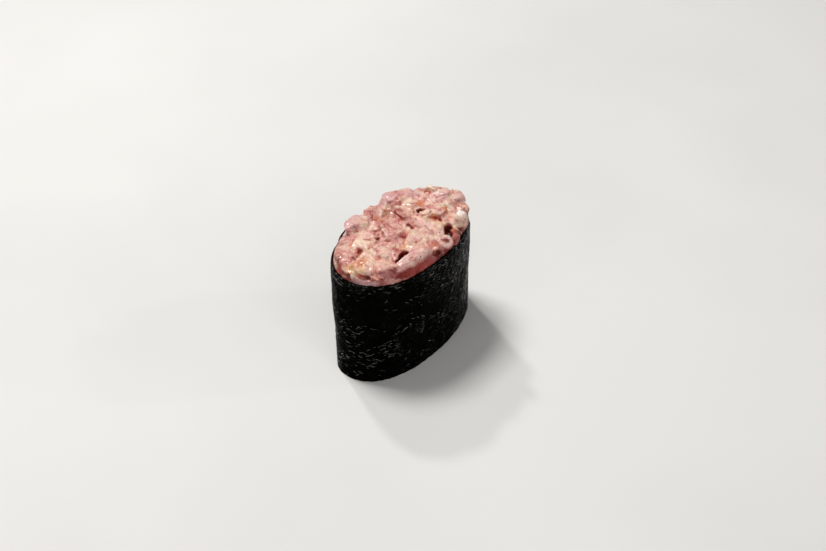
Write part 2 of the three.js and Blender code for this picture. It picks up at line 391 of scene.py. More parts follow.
def finish_piece(
    name: str, mesh: bpy.types.Mesh, material: bpy.types.Material, node: str | None = None
) -> bpy.types.Object:
    """Make a finished piece of a mesh in mm: scale it to metres, dress it and let it ride.

    Args:
        name: The piece's name.
        mesh: Its mesh in mm.
        material: Its finish.
        node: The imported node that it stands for, if any.

    Returns:
        The new object.
    """
    mesh.name = name
    mesh.transform(Matrix.Diagonal((MM, MM, MM, 1)))
    mesh.materials.clear()
    mesh.materials.append(material)
    mesh.shade_smooth()
    piece = new_object(name, mesh)
    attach(piece, BODY)
    if node:
        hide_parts(node)
    LOG.info("%s: %d faces", name, len(mesh.polygons))
    return piece


@dataclass(frozen=True)
class Wall:
    """The oval wall that the nori stands in and that holds the filling, in mm."""

    base_length: float = 51.5
    base_width: float = 26.0
    rim_length: float = 48.0
    rim_width: float = 30.0
    height: float = 32.0
    rim_tilt: float = 0.03
    rim_wave: float = 0.3
    lean: float = -1.3
    power: float = 2.2
    dent: float = 0.22
    thickness: float = 0.4
    clearance: float = 0.35
    shift_x: float = 0.026
    shift_y: float = -0.262
    steps: int = 720
    drum_sides: int = 96

    @property
    def inside(self) -> float:
        """Depth of the filling's face behind the nori's outer face."""
        return self.thickness + self.clearance

    def outline(self, level: float) -> tuple[np.ndarray, np.ndarray, np.ndarray]:
        """Work out the oval at one level.

        Args:
            level: From 0 at the base to 1 at the rim.

        Returns:
            Its points' x, their y and their distance along it.
        """
        angle = np.linspace(0, 2 * math.pi, self.steps + 1)
        bend = 2 / self.power
        length = self.base_length + level * (self.rim_length - self.base_length)
        width = self.base_width + level * (self.rim_width - self.base_width)
        x = length / 2 * np.sign(np.cos(angle)) * np.abs(np.cos(angle)) ** bend
        y = width / 2 * np.sign(np.sin(angle)) * np.abs(np.sin(angle)) ** bend
        run = np.concatenate([[0], np.cumsum(np.hypot(np.diff(x), np.diff(y)))])
        return x, y, run

    def around(self) -> float:
        """Return the length round the wall at half its height."""
        return float(self.outline(0.5)[2][-1])

    def hollow(self, turn: np.ndarray, level: float) -> np.ndarray:
        """Work out how far the sheet is pushed out at one level.

        Args:
            turn: Shares of the way round.
            level: From 0 at the base to 1 at the rim.

        Returns:
            The distance at each place.
        """
        broad = np.sin(2 * math.pi * (4 * turn + 0.7 * level))
        narrow = np.sin(2 * math.pi * (9 * turn - 1.3 * level + 0.2))
        return self.dent * (0.6 * broad + 0.4 * narrow) * math.sin(math.pi * level)

    def rim_height(self, x: np.ndarray, turn: np.ndarray) -> np.ndarray:
        """Work out the height of the top edge, which tilts along X and wavers where it was cut.

        Args:
            x: Places along X.
            turn: Their shares of the way round.

        Returns:
            The height at each place.
        """
        long_wave = np.sin(2 * math.pi * (3 * turn + 0.1))
        short_wave = np.sin(2 * math.pi * (7 * turn + 0.4))
        return self.height + self.rim_tilt * x + self.rim_wave * (long_wave + 0.6 * short_wave) / 1.6

    def ring(self, level: float, turn: np.ndarray, out: np.ndarray | float) -> tuple[np.ndarray, np.ndarray]:
        """Find points at one level of the wall.

        Args:
            level: From 0 at the base to 1 at the rim.
            turn: Shares of the way round from +X, counter-clockwise.
            out: How far the points stand out of the outer face.

        Returns:
            The points and the outward normals on plan, one a row.
        """
        share = np.mod(turn, 1.0)
        x_line, y_line, run = self.outline(level)
        place = share * run[-1]
        step = run[-1] / self.steps
        ends = [np.mod(place + side * step, run[-1]) for side in (-1, 1)]
        tangent_x = np.interp(ends[1], run, x_line) - np.interp(ends[0], run, x_line)
        tangent_y = np.interp(ends[1], run, y_line) - np.interp(ends[0], run, y_line)
        size = np.hypot(tangent_x, tangent_y)
        normal = np.stack([tangent_y / size, -tangent_x / size, np.zeros_like(size)], axis=-1)
        reach = out + self.hollow(share, level)
        x = np.interp(place, run, x_line) + normal[:, 0] * reach + self.lean * level
        y = np.interp(place, run, y_line) + normal[:, 1] * reach
        z = level * self.rim_height(x, share)
        return np.stack([x + self.shift_x, y + self.shift_y, z], axis=-1), normal

    def add_drum(
        self, bm: bmesh.types.BMesh, rings: tuple[tuple[float, float, float], ...], inset: float
    ) -> None:
        """Add a closed drum that follows the wall to an empty bmesh.

        Args:
            bm: The bmesh.
            rings: Each ring's level, its rise over that level in mm and its share of the full size.
            inset: How far the drum stays behind the filling's face, in mm.
        """
        ends = {"cap_ends": True, "radius1": 1.0, "radius2": 1.0, "depth": 1.0}
        bmesh.ops.create_cone(bm, segments=self.drum_sides, **ends)
        if len(rings) > 2:
            sides = [edge for edge in bm.edges if abs(edge.verts[0].co.z - edge.verts[1].co.z) > 0.5]
            bmesh.ops.subdivide_edges(bm, edges=sides, cuts=len(rings) - 2, use_grid_fill=True)
        verts = list(bm.verts)
        turns = np.array([math.atan2(v.co.y, v.co.x) / (2 * math.pi) for v in verts])
        steps = np.round((np.array([v.co.z for v in verts]) + 0.5) * (len(rings) - 1))
        for index, (level, rise, share) in enumerate(rings):
            points, _ = self.ring(level, turns, -self.inside - inset)
            middle = np.array([self.lean * level, 0, level * self.height])
            points = middle + share * (points - middle) + np.array([0, 0, rise])
            for place in np.flatnonzero(steps == index):
                verts[place].co = points[place]


@dataclass(frozen=True)
class CloudedFinish:
    """A finish whose colour drifts between two shades, with the surface's own values and sizes in mm."""

    name: str
    dark: str
    light: str
    cloud: float
    surface: dict
    spread: float = 0.15
    detail: float = 2.0
    relief: float = 0.0

    def make(self) -> bpy.types.Material:
        """Build the material.

        Returns:
            The material.
        """
        material, tree = new_material(self.name)
        place = add_node(tree, "TexCoord").outputs["Object"]
        drift = {"Vector": place, "Scale": 1 / (self.cloud * MM), "Detail": self.detail}
        cloud = add_node(tree, "TexNoise", inputs=drift)
        shades = {0.5 - self.spread: self.dark, 0.5 + self.spread: self.light}
        colour = add_node(tree, "ValToRGB", inputs={"Fac": cloud}, stops=shades)
        surface = {"Base Color": colour, **self.surface}
        if self.relief:
            bump = {"Height": cloud, "Strength": 0.3, "Distance": self.relief * MM}
            surface["Normal"] = add_node(tree, "Bump", inputs=bump)
        close_material(tree, surface)
        return material


# Single blades in toasted nori: dark, hard and glossy, so each shows a thin bright line
BLADES = CloudedFinish(
    "nori_blades",
    "#060705",
    "#12140e",
    1.5,
    {"Roughness": 0.22, "IOR": 1.5, "Specular IOR Level": 0.8, "Coat Weight": 1.0, "Coat Roughness": 0.12},
)

# Cooked short-grain rice: white, slightly see-through and moist, so it glows softly at its edges
RICE = CloudedFinish(
    "cooked_rice",
    "#dcd5c3",
    "#efeadd",
    1.6,
    {
        "Roughness": 0.36,
        "IOR": 1.4,
        "Subsurface Weight": 0.3,
        "Subsurface Radius": (1.0, 0.8, 0.6),
        "Subsurface Scale": 1.2 * MM,
    },
    relief=0.1,
)

# Ground spice and chilli in a moist dressing: small grains of uneven colour, the chilli's a little glossy
SPICE = CloudedFinish("ground_spice", "#1d120d", "#4a2a1b", 0.8, {"Roughness": 0.5, "IOR": 1.45})
CHILLI = CloudedFinish("chilli_bits", "#b2401f", "#d97a3e", 0.8, {"Roughness": 0.35, "IOR": 1.45})

# Matt pale studio board, with a faint unevenness
BOARD = CloudedFinish("studio_board", "#d2d0cc", "#d8d6d2", 1000 / 6, {"Roughness": 0.75}, 0.1, 3.0)


@dataclass(frozen=True)
class NoriFinish:
    """Toasted nori: pressed and roasted seaweed, near black with a green cast, with sizes in mm.

    The sheet is felted from fine blades, so its gloss breaks into short curved glints.
    """

    dark: str = "#020202"
    green: str = "#060704"
    roughness: float = 0.14
    matt: float = 0.003
    glossy: float = 0.1
    blade_width: float = 0.26
    blade_slant: float = 0.5
    blade_stretch: float = 0.3
    sway: float = 2.6
    sway_size: float = 3.0
    patch: float = 7.0
    patch_gain: float = 0.35
    cloud: float = 4.0
    grit: float = 0.3
    rim_foot: float = 28.5
    rim_top: float = 31.5
    rim_gain: float = 0.12

    def make(self) -> bpy.types.Material:
        """Build the material.

        Returns:
            The material.
        """
        material, tree = new_material("toasted_nori")
        sheet = add_node(tree, "Attribute", {"attribute_name": "sheet_mm"}).outputs["Vector"]
        place = add_node(tree, "TexCoord").outputs["Object"]

        # The felted blades: noise that is stretched along a direction that drifts over the sheet
        waves = {"Vector": sheet, "Scale": 1 / self.sway_size, "Detail": 1.0}
        drift = add_node(tree, "TexNoise", inputs=waves)
        shift = {0: drift.outputs["Color"], 1: (self.sway, self.sway, 0.0), 2: sheet}
        swayed = add_node(tree, "VectorMath", {"operation": "MULTIPLY_ADD"}, shift)
        turn = {"Rotation": (0, 0, self.blade_slant), "Scale": (self.blade_stretch, 1.0, 1.0)}
        lie = add_node(tree, "Mapping", inputs={"Vector": swayed, **turn})
        felt = {"Vector": lie, "Scale": 0.6 / self.blade_width, "Detail": 2.0, "Roughness": 0.6}
        blades = add_node(tree, "TexNoise", inputs=felt)

        # The gloss: on the blades, more in patches and along the rim
        patch = add_node(tree, "TexNoise", inputs={"Vector": sheet, "Scale": 1 / self.patch, "Detail": 2.0})
        height = add_node(tree, "SeparateXYZ", inputs={0: sheet}).outputs["Y"]
        edge = {"From Min": self.rim_foot, "From Max": self.rim_top, "To Max": self.rim_gain}
        rim = add_node(tree, "MapRange", inputs={"Value": height, **edge})
        gain = {0: patch, 1: self.patch_gain, 2: blades}
        spread = add_node(tree, "Math", {"operation": "MULTIPLY_ADD"}, gain)
        spread = add_node(tree, "Math", {"operation": "ADD"}, {0: spread, 1: rim})
        limits = {"From Min": 0.78, "From Max": 0.9, "To Min": self.matt, "To Max": self.glossy}
        smooth = {"interpolation_type": "SMOOTHSTEP"}
        shine = add_node(tree, "MapRange", smooth, {"Value": spread, **limits})

        # The colour and the relief
        clouds = {"Vector": place, "Scale": 1 / (self.cloud * MM), "Detail": 3.0}
        cloud = add_node(tree, "TexNoise", inputs=clouds)
        shades = {0.35: self.dark, 0.7: self.green}
        colour = add_node(tree, "ValToRGB", inputs={"Fac": cloud}, stops=shades)
        specks = {"Vector": place, "Scale": 1 / (self.grit * MM), "Detail": 2.0, "Roughness": 0.6}
        grit = add_node(tree, "TexNoise", inputs=specks)
        fine = add_node(tree, "Bump", inputs={"Height": grit, "Strength": 0.8, "Distance": 0.06 * MM})
        bump = {"Height": blades, "Strength": 1.0, "Distance": 0.2 * MM, "Normal": fine}
        surface = {
            "Base Color": colour,
            "Roughness": self.roughness,
            "Specular IOR Level": shine,
            "IOR": 1.45,
            "Normal": add_node(tree, "Bump", inputs=bump),
        }
        close_material(tree, surface)
        return material


@dataclass(frozen=True)
class TunaFinish:
    """Chopped raw tuna in spicy mayonnaise: moist pale pink flesh under a thin peach-cream coat.

    Flesh shows fine fibres along each chunk, the dressing pools pale in the dips, and gaps get painted shade,
    red to dark.
    Sizes are in mm.
    """

    deep: str = "#86201c"
    pink: str = "#d38d86"
    pale: str = "#efcfc4"
    cream: str = "#f6e2c6"
    peach: str = "#e8bca4"
    vein: str = "#b3605a"
    fibre_shade: str = "#d0a8a2"
    speck_shade: str = "#b06a50"
    mottle_shade: str = "#c99086"
    mottle_light: str = "#f4e2dc"
    # Painted shade of hollows and seams, multiplied in from a light red rim to near black
    crease_shade_rim: str = "#ecab97"
    crease_shade_red: str = "#bd4840"
    crease_shade_deep: str = "#640e0b"
    crease_shade_floor: str = "#1c0203"
    fibre: float = 0.35
    fibre_stretch: float = 0.16
    thread: float = 2.4
    cloud: float = 2.4
    speck: float = 0.5
    mottle: float = 0.34
    fleck: float = 2.0
    pore: float = 0.7
    roughness: float = 0.34
    scatter: float = 0.5

    def make(self) -> bpy.types.Material:
        """Build the material.

        Returns:
            The material.
        """
        material, tree = new_material("spicy_tuna")
        read = {
            name: add_node(tree, "Attribute", {"attribute_name": name}).outputs
            for name in ("sauce", "gap", "tone", "stain", "lie", "chopped", "wet")
        }
        place = add_node(tree, "TexCoord").outputs["Object"]
        sizes = (self.thread, self.cloud, self.speck, self.mottle, self.fleck, self.pore)
        details = ((2.0, 0.55), (4.0, 0.5), (1.0, 0.5), (3.0, 0.7), (3.0, 0.6), (3.0, 0.5))
        thread, cloud, speck, grain, fleck, pores = [
            add_node(
                tree,
                "TexNoise",
                inputs={"Vector": place, "Scale": 1 / (size * MM), "Detail": detail, "Roughness": rough},
            )
            for size, (detail, rough) in zip(sizes, details)
        ]

        # Flesh, deep red to pale by its tone, which also carries painted shade, with fibres along each chunk
        # and thin red veins
        tones = {0.0: self.deep, 0.5: self.pink, 1.0: self.pale}
        flesh = add_node(tree, "ValToRGB", inputs={"Fac": read["tone"]["Fac"]}, stops=tones)
        stretch = {"Vector": read["lie"]["Vector"], "Scale": (self.fibre_stretch, 1.0, 1.0)}
        along = add_node(tree, "Mapping", inputs=stretch)
        strands = {"Vector": along, "Scale": 1 / self.fibre, "Detail": 3.0, "Roughness": 0.6}
        fibres = add_node(tree, "TexNoise", inputs=strands)
        shades = {0.3: self.fibre_shade, 0.55: NO_TINT, 0.8: NO_TINT}
        fibre_tint = add_node(tree, "ValToRGB", inputs={"Fac": fibres}, stops=shades)
        fibred = add_node(tree, "Mix", MULTIPLY, {0: 0.75, MIX_A: flesh, MIX_B: fibre_tint})
        shades = {0.484: NO_TINT, 0.5: self.vein, 0.516: NO_TINT}
        veins = add_node(tree, "ValToRGB", inputs={"Fac": thread}, stops=shades)
        veined = add_node(tree, "Mix", MULTIPLY, {0: 0.7, MIX_A: fibred, MIX_B: veins})

        # The dressing over it, the stains, and fine specks of spice
        shades = {0.36: self.peach, 0.55: self.cream, 0.7: self.peach}
        dressing = add_node(tree, "ValToRGB", inputs={"Fac": cloud}, stops=shades)
        coated = add_node(tree, "Mix", COVER, {0: read["sauce"]["Fac"], MIX_A: veined, MIX_B: dressing})
        stain = {0: read["stain"]["Alpha"], MIX_A: coated, MIX_B: read["stain"]["Color"]}
        stained = add_node(tree, "Mix", COVER, stain)
        shades = {0.68: NO_TINT, 0.76: self.speck_shade}
        speckle = add_node(tree, "ValToRGB", inputs={"Fac": speck}, stops=shades)
        spiced = add_node(tree, "Mix", MULTIPLY, {0: 0.7, MIX_A: stained, MIX_B: speckle})

        # The chopped look: a fine mottle and cream flecks
        shades = {0.34: self.mottle_shade, 0.46: self.mottle_light, 0.58: NO_TINT}
        mottle = add_node(tree, "ValToRGB", inputs={"Fac": grain}, stops=shades)
        chopped = read["chopped"]["Fac"]
        mottled = add_node(tree, "Mix", MULTIPLY, {0: chopped, MIX_A: spiced, MIX_B: mottle})
        limits = {"From Min": 0.55, "From Max": 0.68, "To Max": 0.8}
        flecks = add_node(tree, "MapRange", inputs={"Value": fleck, **limits})
        strewn = add_node(tree, "Math", {"operation": "MULTIPLY"}, {0: flecks, 1: chopped})
        flecked = add_node(tree, "Mix", COVER, {0: strewn, MIX_A: mottled, MIX_B: linear(self.cream)})

        # Painted shade: hollows and open seams are multiplied red and then dark by their depth
        shades = {0.13: NO_TINT, 0.32: self.crease_shade_rim, 0.5: self.crease_shade_red}
        shades |= {0.7: self.crease_shade_deep, 0.92: self.crease_shade_floor}
        hollow = add_node(tree, "ValToRGB", inputs={"Fac": read["gap"]["Fac"]}, stops=shades)
        shaded = add_node(tree, "Mix", MULTIPLY, {0: 1.0, MIX_A: flecked, MIX_B: hollow})

        fine = add_node(tree, "Bump", inputs={"Height": grain, "Strength": 1.0, "Distance": 0.22 * MM})
        bump = {"Height": pores, "Strength": 0.7, "Distance": 0.3 * MM, "Normal": fine}
        gloss = {"To Min": self.roughness - 0.08, "To Max": self.roughness + 0.12}
        gloss = {"Value": cloud, "From Min": 0.3, "From Max": 0.7, **gloss}
        surface = {
            "Base Color": shaded,
            "Roughness": add_node(tree, "MapRange", inputs=gloss),
            "IOR": 1.4,
            "Subsurface Weight": 0.14,
            "Subsurface Radius": (1.0, 0.42, 0.28),
            "Subsurface Scale": self.scatter * MM,
            "Specular IOR Level": 0.25,
            "Coat Weight": read["wet"]["Fac"],
            "Coat Roughness": 0.08,
            "Normal": add_node(tree, "Bump", inputs=bump),
        }
        close_material(tree, surface)
        return material


@dataclass
class NoriBand:
    """The strip of nori: wrapped round the filling, its end lapped over its start."""

    wall: Wall
    finish: NoriFinish
    seam_turn: float = 0.31
    seam_lap: float = 13.0
    seam_gap: float = 0.12
    seam_rise: float = 4.0
    pitch: float = 0.4
    rim_curl: float = 0.45
    curl_depth: float = 2.6
    dimples: Grain = Grain(7.0, 3.0, 2, 0.16)
    crinkles: Grain = Grain(2.6, 11.0, 2)
    crinkle_height: float = 0.13
    ripples: Grain = Grain(1.0, 23.0, 2, 0.05)
    nicks: Grain = Grain(1.8, 41.0, 3, 0.32)

    def build(self) -> bpy.types.Object:
        """Make the finished band."""
        mesh = with_modifier(self.sheet(), "SOLIDIFY", thickness=self.wall.thickness, offset=-1.0)
        return finish_piece("nori_band", mesh, self.finish.make(), "nori_wrap")

    def sheet(self) -> bpy.types.Mesh:
        """Wrap a fine flat grid round the wall and crinkle it.

        Returns:
            The sheet's mesh, without its thickness.
        """
        around = self.wall.around()
        length = around + self.seam_lap
        columns = round(length / self.pitch)
        rows = round(self.wall.height / self.pitch)
        bm = bmesh.new()
        bmesh.ops.create_grid(bm, x_segments=columns, y_segments=rows, size=0.5)
        bmesh.ops.reverse_faces(bm, faces=bm.faces)
        mesh = mesh_of(bm, "nori_sheet")
        flat = points_of(mesh)
        along = (flat[:, 0] + 0.5) * length
        level = flat[:, 1] + 0.5
        lap = smoothstep(along, around - self.seam_rise, around)
        out = lap * (self.wall.thickness + self.seam_gap)
        drop = (1 - level) * self.wall.height
        out -= self.rim_curl * smoothstep(-drop, -self.curl_depth, 0.0) ** 2
        turn = self.seam_turn - along / around
        points = np.empty_like(flat)
        normals = np.empty_like(flat)
        for row in np.unique(np.round(level, 5)):
            here = np.abs(level - row) < 1e-4
            points[here], normals[here] = self.wall.ring(float(row), turn[here], out[here])
        points += normals * self.relief(points)[:, None]
        points[:, 2] += self.nicks.at(points) * smoothstep(level, 0.93, 1.0)
        set_points(mesh, points)
        set_attribute(mesh, "sheet_mm", np.stack([along, level * self.wall.height, 0 * along], axis=-1))
        return mesh

    def relief(self, points: np.ndarray) -> np.ndarray:
        """Return how far the sheet stands in or out at points: dimples, crinkles and ripples."""
        ridges = 1 - 2 * np.abs(self.crinkles.at(points))
        return self.dimples.at(points) + self.crinkle_height * (ridges - 0.5) + self.ripples.at(points)


@dataclass
class NoriBlades:
    """Blades of seaweed that lie proud of the pressed sheet, in patches."""

    wall: Wall
    band: bpy.types.Object
    tries: int = 3800
    shortest: float = 0.5
    longest: float = 2.0
    width: float = 0.16
    height: float = 0.08
    swing: float = 1.1
    lean: float = 0.7
    bend: float = 0.22
    patches: Grain = Grain(6.0, 83.0, 2)
    least_share: float = 0.05
    side_share: float = 0.4
    end_share: float = 0.8
    rim_share: float = 0.8

    def build(self) -> bpy.types.Object:
        """Make the finished piece.

        Returns:
            The piece.
        """
        points = points_of(self.band.data) / MM
        normals = normals_of(self.band.data)
        facing = ((points[:, :2] - points[:, :2].mean(axis=0)) * normals[:, :2]).sum(axis=1)
        usable = np.flatnonzero((facing > 3) & (np.abs(normals[:, 2]) < 0.6))
        share = self.density(points[usable])
        bm = bmesh.new()
        for index in range(self.tries):
            pick = int(chance(index, 201) * len(usable))
            if chance(index, 202) < share[pick]:
                spot = usable[pick]
                self.add_blade(bm, index, points[spot], Vector(normals[spot]))
        return finish_piece("nori_blades", mesh_of(bm, "blades"), BLADES.make())

    def density(self, points: np.ndarray) -> np.ndarray:
        """Work out how thick the blades lie: in patches, most near the edges.

        Args:
            points: Places in mm, one a row.

        Returns:
            A share from 0 to 1 for each.
        """
        level = points[:, 2] / self.wall.height
        patches = smoothstep(self.patches.at(points), -0.25, 0.35)
        rim = smoothstep(level, 0.9, 0.97)
        foot = smoothstep(level, 0.03, 0.12) * (1 - smoothstep(level, 0.45, 0.65))
        end = 1 - smoothstep(points[:, 0], -18.0, -8.0)
        patched = patches * (self.side_share * (1 - end) + self.end_share * foot * end)
        return np.clip(self.least_share + patched + self.rim_share * rim, 0, 1)

    def add_blade(self, bm: bmesh.types.BMesh, index: int, place: np.ndarray, normal: Vector) -> None:
        """Add one bent sliver that lies on the sheet.

        Args:
            bm: The bmesh to add to.
            index: Number that sets the sliver's size, bend and direction.
            place: Where it lies, in mm.
            normal: Direction out of the sheet there.
        """
        across = Vector((0, 0, 1)).cross(normal).normalized()
        angle = self.swing * either(index, 203) * chance(index, 204)
        ahead = math.cos(angle) * across + math.sin(angle) * normal.cross(across)
        lean = self.lean * either(index, 208)
        aside = math.cos(lean) * normal.cross(ahead) + math.sin(lean) * normal
        axes = np.array([ahead, aside, ahead.cross(aside)])
        length = self.shortest + (self.longest - self.shortest) * chance(index, 205) ** 1.6
        size = np.array([length, self.width * (0.6 + 0.6 * chance(index, 206)), self.height])
        bend = self.bend * either(index, 207)

        def shape(ball: np.ndarray) -> np.ndarray:
            """Stretch and bend the ball, and lay it on the sheet.

            Args:
                ball: The ball's points, one a row.

            Returns:
                Their new places.
            """
            sliver = ball * size
            sliver[:, 1] += bend * sliver[:, 0] ** 2
            return sliver @ axes + place

        add_ball(bm, 2, shape)


@dataclass
class RiceBed:
    """The pressed rice: a core in the wrap, and the grains that show under it."""

    wall: Wall
    top: float = 17.0
    grain_length: float = 6.4
    grain_width: float = 3.0
    grain_thickness: float = 2.6
    grain_count: int = 120
    length_spread: float = 0.1
    width_spread: float = 0.08
    tilt: float = 0.25
    sink: float = 0.42
    sink_spread: float = 0.14
    taper: float = 0.12
    bow: float = 0.02
    base_lift: float = 0.08
    core_lift: float = 1.3
    core_inset: float = 0.1

    def build(self) -> bpy.types.Object:
        """Make the finished bed.

        Returns:
            The piece.
        """
        bm = bmesh.new()
        levels = (self.core_lift / self.wall.height, self.top / self.wall.height)
        self.wall.add_drum(bm, tuple((level, 0.0, 1.0) for level in levels), self.core_inset)
        for index in range(self.grain_count):
            self.add_grain(bm, index)
        return finish_piece("rice_bed_grains", mesh_of(bm, "rice"), RICE.make(), "rice_bed")

    def add_grain(self, bm: bmesh.types.BMesh, index: int) -> None:
        """Add one grain, pressed flat where it meets the surface that the sushi stands on.

        Args:
            bm: The bmesh to add to.
            index: Number that sets the grain's place and shape.
        """
        middle = np.array([self.wall.shift_x, self.wall.shift_y])
        half = np.array([self.wall.base_length, self.wall.base_width]) / 2 - self.wall.inside
        x, y = middle + np.array(spiral(index, self.grain_count)) * (half - self.grain_width / 3)
        length = self.grain_length * (1 + self.length_spread * either(index, 51))
        width = self.grain_width * (1 + self.width_spread * either(index, 52))
        size = np.array([length, width, self.grain_thickness])
        heading = Matrix.Rotation(math.pi * chance(index, 2), 3, "Z")
        turn = np.array(heading @ Matrix.Rotation(self.tilt * either(index, 1), 3, "Y"))
        lift = self.grain_thickness * (self.sink + self.sink_spread * either(index, 3))

        def shape(points: np.ndarray) -> np.ndarray:
            """Taper the ball to a grain, lay it down and press it flat against the floor and the wrap.

            Args:
                points: The ball's points, one a row.

            Returns:
                Their new places.
            """
            ends = np.abs(2 * points[:, :1])
            grain = points * (1 - self.taper * ends**2) * size
            grain[:, 2] += self.bow * grain[:, 0] ** 2
            laid = grain @ turn.T + np.array([x, y, lift])
            laid[:, 2] = np.where(laid[:, 2] < 0, 0.02 * laid[:, 2], laid[:, 2]) + self.base_lift
            share = np.abs((laid[:, :2] - middle) / half) ** self.wall.power
            reach = np.maximum(share.sum(axis=1) ** (1 / self.wall.power), 1.0)
            laid[:, :2] = middle + (laid[:, :2] - middle) / reach[:, None]
            return laid

        add_ball(bm, 2, shape)


@dataclass(frozen=True)
class Chunk:
    """One piece of chopped tuna: its middle, its size, how it lies and how it is dressed."""

    x: float
    y: float
    z: float
    size: tuple[float, float, float]
    heading: float
    pitch: float = 0.0
    coat: Coat = Coat.DRESSED
    tone: float = 0.6
    is_round: bool = False


@dataclass(frozen=True)
class Gap:
    """An open gap between chunks: its line on plan, its width, its depth, and its height if in a side."""

    start: tuple[float, float]
    end: tuple[float, float]
    width: float
    depth: float
    height: float | None = None

    def away(self, points: np.ndarray) -> np.ndarray:
        """Work out how far points lie from the line.

        Args:
            points: Places in mm, one a row.

        Returns:
            The distance of each, in widths of the gap.
        """
        start = np.array(self.start)
        line = np.array(self.end) - start
        share = np.clip((points[:, :2] - start) @ line / (line @ line), 0, 1)
        apart = np.linalg.norm(points[:, :2] - start - share[:, None] * line, axis=1)
        rise = 0.0 if self.height is None else points[:, 2] - self.height
        return np.hypot(apart, rise) / self.width

    def way(self) -> np.ndarray:
        """Return the direction that the gap is pressed in: down from the top, or into a near side."""
        return np.array((0.3, 0.2, -0.93) if self.height is None else (0.8, 0.53, -0.3))


@dataclass(frozen=True)
class Stain:
    """A place on plan where the tuna is tinted, between two heights: its middle, width and strength."""

    x: float
    y: float
    width: float
    tint: Tint
    strength: float
    bottom: float = 0.0
    top: float = 50.0


@dataclass(frozen=True)
class Lump:
    """A chunk or a small bit where it lies: its matrix, its dressing, its tone and if it is bare."""

    matrix: Matrix
    coat: float
    tone: float
    is_bare: bool = False

    def local(self, points: np.ndarray) -> np.ndarray:
        """Return points in the axes of the ball of radius one half that the lump was made from."""
        inverse = np.array(self.matrix.inverted())
        return points @ inverse[:3, :3].T + inverse[:3, 3]


